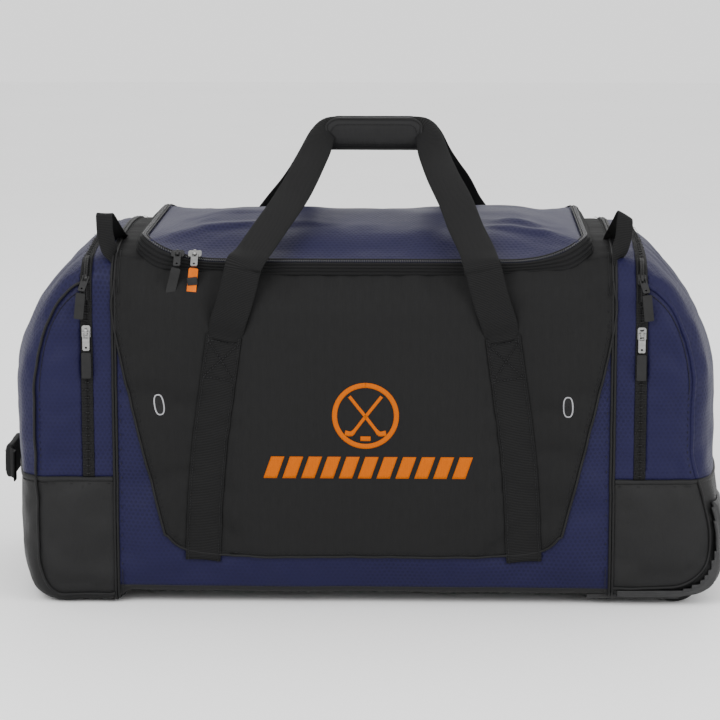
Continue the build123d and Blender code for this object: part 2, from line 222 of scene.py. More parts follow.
def box_grid(step):
    """A closed grid of quads on the box round the body."""
    xs = grid_lines(-HALF_LENGTH, HALF_LENGTH, step)
    ys = grid_lines(-HALF_DEPTH, HALF_DEPTH, step)
    zs = grid_lines(BASE, DECK, step)
    index, verts, faces = {}, [], []

    def vert(i, j, k):
        if (i, j, k) not in index:
            index[i, j, k] = len(verts)
            verts.append((xs[i], ys[j], zs[k]))
        return index[i, j, k]

    nx, ny, nz = len(xs) - 1, len(ys) - 1, len(zs) - 1
    for i in range(nx):
        for j in range(ny):
            for k, turn in ((0, 1), (nz, -1)):
                face = [vert(i, j, k), vert(i, j + 1, k), vert(i + 1, j + 1, k), vert(i + 1, j, k)]
                faces.append(face[::turn])
    for i in range(nx):
        for k in range(nz):
            for j, turn in ((0, 1), (ny, -1)):
                face = [vert(i, j, k), vert(i + 1, j, k), vert(i + 1, j, k + 1), vert(i, j, k + 1)]
                faces.append(face[::turn])
    for j in range(ny):
        for k in range(nz):
            for i, turn in ((0, 1), (nx, -1)):
                face = [vert(i, j, k), vert(i, j, k + 1), vert(i, j + 1, k + 1), vert(i, j + 1, k)]
                faces.append(face[::turn])
    return np.array(verts), faces


# ---------------------------------------------------------------- mesh making
def mesh_object(name, verts, faces, material, uv=None, loop_uv=None):
    """verts are in the bag's own coordinates, with x from its middle."""
    mesh = bpy.data.meshes.new(name)
    placed = np.array(verts, float) + (MIDDLE, 0, 0)
    mesh.from_pydata(placed.tolist(), [], [list(map(int, f)) for f in faces])
    layer = mesh.uv_layers.new(name="UVMap")
    if uv is not None:
        ids = np.zeros(len(mesh.loops), np.int32)
        mesh.loops.foreach_get("vertex_index", ids)
        layer.data.foreach_set("uv", np.array(uv, np.float32)[ids].ravel())
    if loop_uv is not None:
        layer.data.foreach_set("uv", np.array(loop_uv, np.float32).ravel())
    mesh.polygons.foreach_set("use_smooth", [True] * len(mesh.polygons))
    mesh.materials.append(material)
    mesh.validate()
    mesh.update()
    obj = bpy.data.objects.new(name, mesh)
    bpy.context.collection.objects.link(obj)
    return obj


class Batch:
    """Several small shapes gathered into one mesh."""

    def __init__(self):
        self.verts, self.faces, self.uvs, self.count = [], [], [], 0

    def add(self, verts, faces, uv=None):
        verts = np.array(verts, float)
        self.verts.append(verts)
        self.faces += [[i + self.count for i in f] for f in faces]
        self.uvs.append(np.zeros((len(verts), 2)) if uv is None else np.array(uv, float))
        self.count += len(verts)

    def mesh(self, name, material):
        return mesh_object(name, np.vstack(self.verts), self.faces, material, np.vstack(self.uvs))

    def object(self, name, material, body):
        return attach(self.mesh(name, material), body)


def thicken(obj, thickness):
    """Gives a sheet its thickness, inwards from the side that shows."""
    solid = obj.modifiers.new("thickness", "SOLIDIFY")
    solid.thickness = thickness
    solid.offset = -1


def grid_faces(rows, columns):
    """The quads of a sheet whose points run along its rows."""
    return [[i * columns + k, i * columns + k + 1, (i + 1) * columns + k + 1, (i + 1) * columns + k]
            for i in range(rows - 1) for k in range(columns - 1)]


def ring_faces(rings, around):
    """The quads between closed rings, with around points each."""
    sides = [(i * around + k, i * around + (k + 1) % around) for i in range(rings - 1) for k in range(around)]
    return [[a, a + around, b + around, b] for a, b in sides]


def tube(line, radius, sides=10, up=(0, 0, 1), flatten=1.0, closed=False):
    """A round tube along a line, with capped ends."""
    line = np.array(line, float)
    tangent = heading(line)
    if closed:
        tangent = unit(np.roll(line, -1, axis=0) - np.roll(line, 1, axis=0))
    up = np.broadcast_to(np.array(up, float), line.shape)
    across = unit(np.cross(tangent, up) + 1e-7)
    over = unit(np.cross(across, tangent))
    angles = np.linspace(0, 2 * math.pi, sides, endpoint=False)
    rings = [p + radius * (math.cos(a) * s + flatten * math.sin(a) * o)
             for p, s, o in zip(line, across, over) for a in angles]
    at = distance_along(line)
    uv = [(a / 6.2832 * 0.01, v) for v in at for a in angles]
    n = len(line)
    faces = []
    for i in range(n if closed else n - 1):
        j = (i + 1) % n
        for k in range(sides):
            m = (k + 1) % sides
            faces.append([i * sides + k, i * sides + m, j * sides + m, j * sides + k])
    if not closed:
        faces.append(list(range(sides - 1, -1, -1)))
        faces.append([(n - 1) * sides + k for k in range(sides)])
    return np.array(rings), faces, uv


def ribbon(centre, across, half, thickness, bulge):
    """Flat webbing along a line: across is its width direction at each station, half its half width."""
    centre, across = np.array(centre, float), unit(np.array(across, float))
    count = len(centre)
    half, thickness, bulge = (np.broadcast_to(np.array(v, float), (count,)) for v in (half, thickness, bulge))
    tangent = heading(centre)
    across = unit(across - tangent * (across * tangent).sum(axis=1, keepdims=True))
    normal = unit(np.cross(across, tangent))
    us = np.array([-1, -0.97, -0.85, -0.5, 0, 0.5, 0.85, 0.97, 1])
    rise = np.array([0.35, 0.8, 1, 1, 1, 1, 1, 0.8, 0.35]) / 2
    section = list(zip(us, rise)) + list(zip(us[::-1], -rise[::-1]))
    at = distance_along(centre)
    verts = [c + a * h * u + n * (r * t + b * (1 - u * u))
             for c, a, n, h, t, b in zip(centre, across, normal, half, thickness, bulge) for u, r in section]
    uv = [(h * u, v) for v, h in zip(at, half) for u, r in section]
    m = len(section)
    faces = ring_faces(count, m)
    faces.append(list(range(m)))
    faces.append([(count - 1) * m + k for k in range(m - 1, -1, -1)])
    return np.array(verts), faces, uv


def stitches(batch, line, normal, pitch=0.0042, length=0.0030, radius=0.00042, lift=0.0002):
    """A row of thread dashes along a line, lying on the surface with that normal."""
    count = max(2, int(line_length(line) / pitch))
    both = resample(np.hstack([line, np.broadcast_to(normal, line.shape)]), count * 2 + 1)
    points, normals = both[:, :3], unit(both[:, 3:])
    for i in range(0, count * 2 - 1, 2):
        a, b = points[i], points[i + 1]
        way = unit(b - a) * length / 2
        mid = (a + b) / 2 + normals[i] * lift
        raised = mid + normals[i] * radius
        dash = np.array([mid - way, raised - way * 0.6, raised + way * 0.6, mid + way])
        batch.add(*tube(dash, radius, sides=6, up=normals[i]))


# ---------------------------------------------------------------- materials
WAVE_SCALE = 0.3142  # a wave texture with this scale repeats once a metre


class Nodes:
    """One material's node tree."""

    def __init__(self, name):
        self.material = bpy.data.materials.new(name)
        self.material.use_nodes = True
        self.tree = self.material.node_tree
        self.shader = self.tree.nodes["Principled BSDF"]

    def new(self, kind, **values):
        node = self.tree.nodes.new(kind)
        for key, value in values.items():
            setattr(node, key, value)
        return node

    def link(self, a, b):
        self.tree.links.new(a, b)

    def uv(self, scale=(1, 1, 1)):
        texture = self.new("ShaderNodeTexCoord")
        mapping = self.new("ShaderNodeMapping")
        mapping.inputs["Scale"].default_value = scale
        self.link(texture.outputs["UV"], mapping.inputs["Vector"])
        return mapping.outputs["Vector"]

    def place(self):
        return self.new("ShaderNodeTexCoord").outputs["Object"]

    def noise(self, vector, scale, detail=3.0, rough=0.55):
        node = self.new("ShaderNodeTexNoise")
        node.inputs["Scale"].default_value = scale
        node.inputs["Detail"].default_value = detail
        node.inputs["Roughness"].default_value = rough
        self.link(vector, node.inputs["Vector"])
        return node.outputs["Fac"]

    def math(self, operation, a, b=None):
        node = self.new("ShaderNodeMath", operation=operation)
        for socket, value in zip(node.inputs, (a, b)):
            if isinstance(value, (int, float)):
                socket.default_value = value
            elif value is not None:
                self.link(value, socket)
        return node.outputs[0]

    def band(self, vector, pitch, turn=0.0):
        """Even waves with that pitch in metres, turned by turn radians."""
        node = self.new("ShaderNodeTexWave", wave_type="BANDS", bands_direction="X", wave_profile="SIN")
        node.inputs["Scale"].default_value = WAVE_SCALE / pitch
        mapping = self.new("ShaderNodeMapping")
        mapping.inputs["Rotation"].default_value = (0, 0, turn)
        self.link(vector, mapping.inputs["Vector"])
        self.link(mapping.outputs["Vector"], node.inputs["Vector"])
        return node.outputs["Fac"]

    def ramp(self, value, stops):
        node = self.new("ShaderNodeValToRGB")
        while len(node.color_ramp.elements) < len(stops):
            node.color_ramp.elements.new(0.5)
        for element, (at, colour) in zip(node.color_ramp.elements, stops):
            element.position = at
            element.color = (*colour, 1)
        self.link(value, node.inputs["Fac"])
        return node.outputs["Color"]

    def mix(self, amount, a, b):
        """Two colours mixed; the numbers are the sockets of the node's factor, colours and result."""
        node = self.new("ShaderNodeMix", data_type="RGBA")
        for socket, value in ((node.inputs[0], amount), (node.inputs[6], a), (node.inputs[7], b)):
            if isinstance(value, tuple):
                socket.default_value = (*value, 1)
            else:
                self.link(value, socket)
        return node.outputs[2]

    def bump(self, height, strength, distance, before=None):
        node = self.new("ShaderNodeBump")
        node.inputs["Strength"].default_value = strength
        node.inputs["Distance"].default_value = distance
        self.link(height, node.inputs["Height"])
        if before is not None:
            self.link(before, node.inputs["Normal"])
        return node.outputs["Normal"]

    def finish(self, colour, normal=None, rough=0.7, sheen=0.0, specular=0.5, metal=0.0, rough_link=None):
        shader = self.shader
        if isinstance(colour, tuple):
            shader.inputs["Base Color"].default_value = (*colour, 1)
        else:
            self.link(colour, shader.inputs["Base Color"])
        if normal is not None:
            self.link(normal, shader.inputs["Normal"])
        if rough_link is not None:
            self.link(rough_link, shader.inputs["Roughness"])
        else:
            shader.inputs["Roughness"].default_value = rough
        shader.inputs["Sheen Weight"].default_value = sheen
        shader.inputs["Sheen Roughness"].default_value = 0.4
        shader.inputs["Specular IOR Level"].default_value = specular
        shader.inputs["Metallic"].default_value = metal
        return self.material


def hexagon_weave(name, dark, light, thread):
    """Nylon with a small raised honeycomb in its weave."""
    m = Nodes(name)
    uv = m.uv()
    waves = [m.band(uv, 0.0052, math.radians(turn)) for turn in (30, 90, 150)]
    cells = m.math("MULTIPLY", m.math("ADD", m.math("ADD", waves[0], waves[1]), waves[2]), 0.333)
    weave = m.math("MULTIPLY", m.math("ADD", m.band(uv, 0.0011), m.band(uv, 0.0011, math.pi / 2)), 0.5)
    patches = m.noise(m.place(), 9.0, 4)
    base = m.ramp(cells, [(0.30, dark), (0.62, light)])
    worn = m.mix(m.math("MULTIPLY", weave, 0.22), base, thread)
    shown = m.ramp(m.noise(m.place(), 6.0, 3), [(0.38, (0.25, 0.25, 0.25)), (0.62, (1.0, 1.0, 1.0))])
    colour = m.mix(shown, light, worn)
    colour = m.mix(m.math("MULTIPLY", patches, 0.30), colour, dark)
    fine = m.bump(weave, 0.35, 0.0003)
    crinkle = m.bump(m.noise(m.place(), 70.0, 3), 0.25, 0.002, fine)
    normal = m.bump(cells, 0.4, 0.0006, crinkle)
    duller = m.math("ADD", m.math("MULTIPLY", patches, 0.16), 0.50)
    rough = m.math("ADD", m.math("MULTIPLY", cells, -0.12), duller)
    return m.finish(colour, normal, rough_link=rough, specular=0.13)


def plain_weave(name, dark, light, pitch=0.0011, rough=0.78, sheen=0.15, rib=0.0, specular=0.32, crinkle=0.2):
    """Woven polyester with long threads, and a faint upright rib where rib is given."""
    m = Nodes(name)
    uv = m.uv()
    weave = m.math("MULTIPLY", m.math("ADD", m.band(uv, pitch), m.band(uv, pitch * 1.25, math.pi / 2)), 0.5)
    streaks = m.noise(m.uv((700, 60, 1)), 1.0, 2)
    patches = m.noise(m.place(), 7.0, 4)
    tone = m.math("ADD", m.math("MULTIPLY", weave, 0.45), m.math("MULTIPLY", streaks, 0.55))
    if rib:
        tone = m.math("ADD", tone, m.math("MULTIPLY", m.band(uv, rib), 0.05))
    base = m.ramp(tone, [(0.2, dark), (0.85, light)])
    colour = m.mix(m.math("MULTIPLY", patches, 0.4), base, dark)
    fine = m.bump(weave, 0.4, 0.0003)
    normal = m.bump(m.noise(m.place(), 60.0, 3), crinkle, 0.002, fine)
    return m.finish(colour, normal, rough=rough, sheen=sheen, specular=specular)


def webbing(name, dark, light):
    """Flat webbing: ribs across, fine threads along."""
    m = Nodes(name)
    uv = m.uv()
    ribs = m.band(uv, 0.0021, math.pi / 2)
    threads = m.band(uv, 0.0013)
    crossings = m.math("MULTIPLY", m.math("MULTIPLY", threads, ribs), 0.4)
    tone = m.math("ADD", m.math("MULTIPLY", ribs, 0.5), crossings)
    patches = m.noise(m.place(), 14.0, 4)
    base = m.ramp(tone, [(0.1, dark), (0.9, light)])
    colour = m.mix(m.math("MULTIPLY", patches, 0.45), base, dark)
    normal = m.bump(tone, 0.7, 0.0006)
    return m.finish(colour, normal, rough=0.75, specular=0.10)


def moulded(name, base, grain=900.0, rough=0.5, specular=0.45, bump=0.25):
    """Moulded plastic or rubber with a fine sparked grain and faint scuffs."""
    m = Nodes(name)
    place = m.place()
    grains, scuffs = m.noise(place, grain, 2), m.noise(place, 38.0, 5, 0.7)
    light = tuple(min(1.0, c * 1.6 + 0.003) for c in base)
    colour = m.ramp(scuffs, [(0.35, base), (0.85, light)])
    normal = m.bump(grains, bump, 0.0003)
    roughness = m.math("ADD", m.math("MULTIPLY", scuffs, 0.2), rough - 0.1)
    return m.finish(colour, normal, rough_link=roughness, specular=specular)


def metal(name, base, rough=0.3, metallic=1.0):
    """Cast or plated metal with faint handling marks."""
    m = Nodes(name)
    place = m.place()
    marks = m.noise(place, 260.0, 4, 0.65)
    colour = m.ramp(marks, [(0.3, tuple(c * 0.7 for c in base)), (0.7, base)])
    roughness = m.math("ADD", m.math("MULTIPLY", marks, 0.25), rough - 0.1)
    return m.finish(colour, m.bump(marks, 0.15, 0.0003), rough_link=roughness, metal=metallic)


def floor_material():
    m = Nodes("floor")
    clouds = m.noise(m.place(), 1.5, 4)
    pale = m.ramp(clouds, [(0.3, (0.93, 0.93, 0.93)), (0.7, (0.95, 0.95, 0.95))])
    return m.finish(pale, rough=0.6, specular=0.2)


NAVY = hexagon_weave("navy_nylon", (0.0050, 0.0045, 0.0215), (0.0078, 0.0071, 0.0335), (0.0125, 0.0118, 0.044))
BLACK = plain_weave("black_polyester", (0.0070, 0.0070, 0.0071), (0.0135, 0.0135, 0.0137),
                    rib=0.012, sheen=0.0, specular=0.10)
COATED = plain_weave("coated_black", (0.0062, 0.0062, 0.0064), (0.0118, 0.0118, 0.0121), 0.0008, 0.55, 0.0,
                     specular=0.17, crinkle=0.35)
LINING = plain_weave("lining", (0.03, 0.03, 0.032), (0.07, 0.07, 0.075), 0.0009, 0.8)
WEBBING = webbing("webbing", (0.0050, 0.0050, 0.0051), (0.0165, 0.0165, 0.0168))
PIPING = plain_weave("piping", (0.0030, 0.0030, 0.0032), (0.0080, 0.0080, 0.0083), 0.0012, 0.6, 0.0,
                     specular=0.2, crinkle=0.1)
TAPE = webbing("zip_tape", (0.0055, 0.0055, 0.0057), (0.018, 0.018, 0.0185))
COIL = moulded("zip_coil", (0.030, 0.030, 0.032), 700, 0.40)
COIL_DARK = moulded("zip_coil_dark", (0.007, 0.007, 0.0072), 700, 0.55, 0.2)
THREAD = moulded("thread", (0.010, 0.010, 0.0105), 1500, 0.7, 0.15)
PRINT = plain_weave("orange_print", (0.34, 0.070, 0.0), (0.50, 0.105, 0.0), 0.0011, 0.75, 0.0,
                    specular=0.04, crinkle=0.1)
GRIP_CLOTH = plain_weave("grip_cloth", (0.0085, 0.0085, 0.0088), (0.019, 0.019, 0.0195), 0.0014, 0.75, 0.0,
                         specular=0.15, crinkle=0.3)
VENT_RING = moulded("vent_ring", (0.22, 0.22, 0.23), 900, 0.5)
PLASTIC = moulded("moulded_plastic", (0.012, 0.012, 0.0125), 900, 0.5, 0.3)
RUBBER = moulded("rubber", (0.0075, 0.0075, 0.0076), 1200, 0.62, 0.20)
ORANGE_RUBBER = moulded("orange_rubber", (0.40, 0.082, 0.0), 1200, 0.6, 0.10)
GREY_RUBBER = moulded("grey_rubber", (0.045, 0.045, 0.047), 1200, 0.55)
ZINC = metal("zinc", (0.30, 0.30, 0.295), 0.30)
ENAMEL = metal("black_enamel", (0.014, 0.014, 0.0145), 0.35, 0.4)
STEEL = metal("steel", (0.52, 0.52, 0.53), 0.32)


# ---------------------------------------------------------------- how the fabric settles
SIM_CAP = 0.012  # no point of the cloth moves further than this
SIM_FRAMES = 22


def pin_weights(p, n):
    """How firmly each point of the skin is held by a seam, a zip, a strap or a board."""
    x, y, z = np.abs(p[:, 0]), np.abs(p[:, 1]), p[:, 2]

    def near(value, at, width):
        return np.exp(-(((value - at) / width) ** 2))

    w = near(x, SEAM, 0.007)
    w = np.maximum(w, near(x, ZIP, 0.008) * (z > POCKET_BASE - 0.01))
    w = np.maximum(w, near(z, POCKET_BASE, 0.006) * (x > SEAM))
    piping = (x > ZIP) * near(np.abs(n[:, 1]), 0.97, 0.05) * (np.abs(n[:, 1]) < 0.995)
    w = np.maximum(w, 0.9 * piping)
    w = np.maximum(w, (x < LID_X + 0.016) * (y < LID_Y + 0.012) * (z > DECK - 0.004))
    w = np.maximum(w, (z < BASE + 0.012) * 1.0)
    line = np.interp(z, [s[0] for s in STRAP_LINE], [s[1] for s in STRAP_LINE])
    front = (n[:, 1] < -0.9) | (n[:, 1] > 0.9)
    strap = near(x, line, 0.020) * (z < STRAP_LINE[-1][0] + 0.02) * front
    w = np.maximum(w, 0.55 * strap)
    handle = (p[:, 0] < -HALF_LENGTH + 0.03) * near(z, END_STRAP_HOLD, 0.035) * smooth(0.10, 0.07, y)
    w = np.maximum(w, 0.85 * handle)
    return np.clip(w, 0, 1)


def simulate_skin():
    """Inflates the fabric between its seams, and returns the rest and the settled grid."""
    verts, faces = box_grid(0.0095)
    rest, normal = on_skin(verts)
    obj = mesh_object("skin_simulation", rest, faces, BLACK)
    group = obj.vertex_groups.new(name="held")
    for i, weight in enumerate(pin_weights(rest, normal)):
        group.add([i], float(weight), "REPLACE")
    settled = rest.copy()
    cloth = obj.modifiers.new("cloth", "CLOTH")
    s = cloth.settings
    s.quality = 5
    s.mass = 0.25
    s.tension_stiffness = s.compression_stiffness = 12
    s.shear_stiffness = 4
    s.bending_stiffness = 0.6
    s.vertex_group_mass = "held"
    s.pin_stiffness = 1.0
    s.use_pressure = True
    s.uniform_pressure_force = 3.2
    s.shrink_min = -0.022
    s.effector_weights.gravity = 0
    cloth.collision_settings.use_collision = False
    cloth.point_cache.frame_end = SIM_FRAMES
    for step in range(1, SIM_FRAMES + 1):
        bpy.context.scene.frame_set(step)
    shape = obj.evaluated_get(bpy.context.evaluated_depsgraph_get()).to_mesh()
    settled = np.array([v.co for v in shape.vertices]) - (MIDDLE, 0, 0)
    bpy.context.scene.frame_set(1)
    bpy.data.objects.remove(obj)
    move = settled - rest
    length = np.linalg.norm(move, axis=1, keepdims=True)
    move *= np.minimum(1, SIM_CAP / np.maximum(length, 1e-9))
    # the ends are stiffened by their lining, and bulge less
    move[:, 0] *= 1 - 0.85 * smooth(0.38, 0.44, np.abs(rest[:, 0]))
    return rest, move, faces


def finer(rest, move, faces):
    """The same grid with a Catmull-Clark subdivision, for the rest and the settled shape."""
    out = []
    for k, co in enumerate((rest, rest + move)):
        obj = mesh_object(f"finer_{k}", co, faces, BLACK)
        level = obj.modifiers.new("finer", "SUBSURF")
        level.levels = 1
        shape = obj.evaluated_get(bpy.context.evaluated_depsgraph_get()).to_mesh()
        out.append(np.array([v.co for v in shape.vertices]) - (MIDDLE, 0, 0))
        bpy.data.objects.remove(obj)
    return out[0], out[1] - out[0]


FIELD_REST, FIELD_MOVE = finer(*simulate_skin())
FIELD = KDTree(len(FIELD_REST))
for number, point in enumerate(FIELD_REST):
    FIELD.insert(point, number)
FIELD.balance()


def settle(p):
    """How far the filled bag's fabric has moved at p: the simulation, and the rise of the top."""
    p = np.array(p, float)
    move = np.zeros_like(p)
    for i, q in enumerate(p):
        found = FIELD.find_n(q, 4)
        weights = [1 / (d * d + 4e-6) for _, _, d in found]
        total = sum(weights)
        for w, (_, index, _) in zip(weights, found):
            move[i] += FIELD_MOVE[index] * (w / total)
    return move + deck_rise(p)


def deck_rise(p):
    """The filled bag's top is higher along its middle than at its front and rear edges."""
    x, y, z = np.abs(p[:, 0]), np.abs(p[:, 1]), p[:, 2]
    ends = smooth(0.455, 0.330, x)
    dip = smooth(0.150, 0.270, x) + (1 - smooth(0.150, 0.270, x)) * smooth(0.215, 0.120, y)
    out = np.zeros_like(p)
    out[:, 2] = 0.030 * np.clip(1 - (y / 0.222) ** 3.2, 0, 1) * ends * dip * smooth(0.30, 0.43, z)
    return out


def rim_rise(p):
    """The opening's rim hangs low along the front and the rear, and is raised at its ends."""
    t = np.clip((np.abs(p[:, 0]) - 0.175) / (LID_X - 0.175), 0, 1)
    out = np.zeros_like(p)
    out[:, 2] = -0.0065 + 0.0315 * t**2.6
    return out


def creases(p):
    """Small folds of the fabric, along the normal: most at the corners, least in the middle of the front."""
    calm = 0.30 + 0.95 * smooth(0.24, 0.37, np.abs(p[:, 0]))
    slanted = p @ np.array([[0.7, 0.0, 0.35], [0.0, 1.0, 0.0], [-0.35, 0.0, 1.6]])
    h = 0.0011 * value_noise(slanted, 0.050, 3) + 0.0007 * value_noise(p, 0.024, 5)
    h += 0.0020 * value_noise(p, 0.110, 9)
    return h * calm


def draped(p, n, lift=0.0):
    """Points on the rest skin, carried to the settled fabric and raised by lift along the normal."""
    lift = np.broadcast_to(lift, (len(p),))
    return p + settle(p) + n * (creases(p) + lift)[:, None]


# ---------------------------------------------------------------- the skin's panels
STEP = 0.0058


def master_grid():
    """The whole skin at rest, cut along the seams: points, faces, and each face's middle and normal."""
    verts, faces = box_grid(STEP)
    rest, _ = on_skin(verts)
    mesh = bpy.data.meshes.new("master")
    mesh.from_pydata(rest.tolist(), [], faces)
    cut = bmesh.new()
    cut.from_mesh(mesh)
    seams = (SEAM, ZIP - TAPE_HALF, ZIP, ZIP + TAPE_HALF)
    planes = [((s * x, 0, 0), (1, 0, 0)) for s in (-1, 1) for x in seams]
    planes += [((0, 0, POCKET_BASE), (0, 0, 1)), ((0, 0, BOTTOM_STRIP), (0, 0, 1))]
    planes += [((0, s * YOKE_Y, 0), (0, 1, 0)) for s in (-1, 1)]
    for place, way in planes:
        everything = cut.verts[:] + cut.edges[:] + cut.faces[:]
        bmesh.ops.bisect_plane(cut, geom=everything, dist=1e-6, plane_co=place, plane_no=way)
    cut.to_mesh(mesh)
    cut.free()
    points = np.array([v.co for v in mesh.vertices])
    polygons = [list(f.vertices) for f in mesh.polygons]
    middles = np.array([f.center for f in mesh.polygons])
    normals = np.array([f.normal for f in mesh.polygons])
    bpy.data.meshes.remove(mesh)
    return points, polygons, middles, normals


def cut_out(mask):
    """The skin's faces under mask: their numbers, their points' numbers, and the faces numbered by those."""
    chosen = np.nonzero(mask)[0]
    used = sorted({v for f in chosen for v in GRID_FACES[f]})
    where = {v: i for i, v in enumerate(used)}
    return chosen, used, [[where[v] for v in GRID_FACES[f]] for f in chosen]


def panel(name, mask, material, body, lift=0.0):
    """The part of the skin under mask, as a piece of fabric with its own thickness."""
    chosen, used, faces = cut_out(mask)
    rest = GRID_POINTS[used]
    _, normal = on_skin(rest + unit(rest - core_point(rest)) * 0.001)
    uv = []
    for f in chosen:
        axis = int(np.argmax(np.abs(GRID_NORMALS[f])))
        keep = [(1, 2), (0, 2), (0, 1)][axis]
        uv += [GRID_POINTS[v][list(keep)] for v in GRID_FACES[f]]
    obj = mesh_object(name, SETTLED[used] + normal * lift, faces, material, loop_uv=uv)
    thicken(obj, 0.0015)
    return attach(obj, body)


GRID_POINTS, GRID_FACES, MIDDLES, GRID_NORMALS = master_grid()
GRID_OUT = unit(GRID_POINTS - core_point(GRID_POINTS))
SETTLED = draped(GRID_POINTS, GRID_OUT)


def lid_outline(grow, count):
    """The lid's outline, grown outwards, from the middle of the rear, seen from above anticlockwise."""
    hx, hy = LID_X - LID_CORNER, LID_Y - LID_CORNER
    r = LID_CORNER + grow
    pieces = [[(0, hy + r)], [(-hx, hy + r)]]
    for cx, cy, start in ((-hx, hy, 90), (-hx, -hy, 180), (hx, -hy, 270), (hx, hy, 0)):
        pieces.append([(cx + r * math.cos(math.radians(start + t)), cy + r * math.sin(math.radians(start + t)))
                       for t in range(0, 91, 6)])
    line = np.array([p for piece in pieces for p in piece] + [(0, hy + r)])
    return resample(line, count)


def deck_height(y):
    """The height of the skin round the lid, which falls towards the front and rear edges."""
    over = np.maximum(0, np.abs(y) - (HALF_DEPTH - EDGE))
    return DECK - EDGE + np.sqrt(np.maximum(EDGE**2 - over**2, 0))


def inside_lid(p, grow):
    """Whether each point lies inside the lid's outline, grown outwards, seen from above."""
    hx, hy = LID_X - LID_CORNER, LID_Y - LID_CORNER
    dx, dy = np.maximum(np.abs(p[:, 0]) - hx, 0), np.maximum(np.abs(p[:, 1]) - hy, 0)
    return np.hypot(dx, dy) < LID_CORNER + grow


def body_panels():
    """The fabric of the main compartment and of both pockets."""
    x, y, z = np.abs(MIDDLES[:, 0]), MIDDLES[:, 1], MIDDLES[:, 2]
    main = x < SEAM
    top = (np.abs(y) < YOKE_Y) & (z > DECK - 0.05) & main
    opening = top & inside_lid(MIDDLES, -0.006)
    low = (z < BOTTOM_STRIP) & main
    walls = panel("main_walls", main & ~top & ~low, NAVY, "bag")
    deck = panel("top_deck", top & ~opening, BLACK, "bag")
    floor = panel("bottom_sheet", low, COATED, "bag")
    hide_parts("main_body_walls")
    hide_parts("top_yoke")
    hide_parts("bottom_panel")
    for side, sign in (("left", -1), ("right", 1)):
        here = MIDDLES[:, 0] * sign
        high = z > POCKET_BASE
        wheel = np.hypot(here - WHEEL_X, z - WHEEL_R) < 0.051
        wheel &= (np.abs(np.abs(y) - WHEEL_Y) < 0.027) if sign > 0 else False
        base = panel(f"{side}_lower", (here > SEAM) & ~high & ~wheel, COATED, "bag")
        gusset = panel(f"{side}_gusset", (here > SEAM) & (here < ZIP - TAPE_HALF) & high, NAVY, "bag")
        inner = panel(f"{side}_tape_inner", (here > ZIP - TAPE_HALF) & (here < ZIP) & high, TAPE, "bag", 0.0006)
        outer = panel(f"{side}_tape_outer", (here > ZIP) & (here < ZIP + TAPE_HALF) & high, TAPE,
                      f"{side}_flap", 0.0006)
        flap = panel(f"{side}_flap_cloth", (here > ZIP + TAPE_HALF) & high, NAVY, f"{side}_flap")
        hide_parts(f"{side}_pocket_base")
        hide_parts(f"{side}_pocket_gusset")
        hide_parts(f"{side}_zip_inner")
        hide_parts(f"{side}_zip_outer")
        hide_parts(f"{side}_pocket_flap")


def corner_guards():
    """Ribbed plastic moulded round the lower corners at the wheel end, outside the piping."""
    out = unit(MIDDLES - core_point(MIDDLES))
    x, y, z = MIDDLES[:, 0], np.abs(MIDDLES[:, 1]), MIDDLES[:, 2]
    aside = np.degrees(np.arctan2(np.hypot(out[:, 0], out[:, 2]), np.abs(out[:, 1])))
    low = (x > 0.330) & (z < 0.140 - 0.5 * np.maximum(0, 0.40 - x)) & (z < 0.135)
    mask = low & (aside > 37) & (y > 0.112)
    tip = (np.abs(y - WHEEL_Y) < WHEEL_GAP / 2) & (z < 0.062) & (x > WHEEL_X - 0.044)
    mask &= ~tip
    _, used, faces = cut_out(mask)
    rest, n = GRID_POINTS[used], GRID_OUT[used]
    side = np.abs(rest[:, 1])
    ribs = 0.5 + 0.5 * np.cos((0.215 - side) / 0.0105 * 2 * math.pi)
    fade = smooth(0.112, 0.120, side) * smooth(0.140, 0.128, rest[:, 2])
    lift = 0.0012 + (0.0026 + 0.0022 * ribs) * fade
    shape = rest + n * lift[:, None]
    obj = mesh_object("corner_guards", shape, faces, PLASTIC, uv=rest[:, [0, 2]])
    thicken(obj, 0.003)
    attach(obj, "bag")


body_panels()
corner_guards()


# ---------------------------------------------------------------- things laid on the skin
def laid(x, z, lift, face=-1):
    """Points laid on the front (face -1) or rear (face 1) at x and height z; above the edge, z runs on over
    the top."""
    x, z = np.asarray(x, float), np.asarray(z, float)
    top = DECK - EDGE
    turn = np.clip((z - top) / EDGE, 0, math.pi / 2)
    past = np.maximum(z - top - EDGE * math.pi / 2, 0)
    y = HALF_DEPTH - EDGE + EDGE * np.cos(turn) - past
    height = np.where(z < top, z, top + EDGE * np.sin(turn))
    out = np.stack([0 * x, face * np.cos(turn), np.sin(turn)], axis=-1)
    low = smooth(BASE + EDGE, BASE, height) * 0.004
    p = np.stack([x, face * (y - low), height], axis=-1)
    return draped(p, out, lift), out


def grid_rim(rows, columns):
    """The points round the edge of a sheet, in order."""
    rim = list(range(columns)) + [i * columns + columns - 1 for i in range(1, rows)]
    rim += [(rows - 1) * columns + j for j in range(columns - 2, -1, -1)]
    return rim + [i * columns for i in range(rows - 2, 0, -1)]


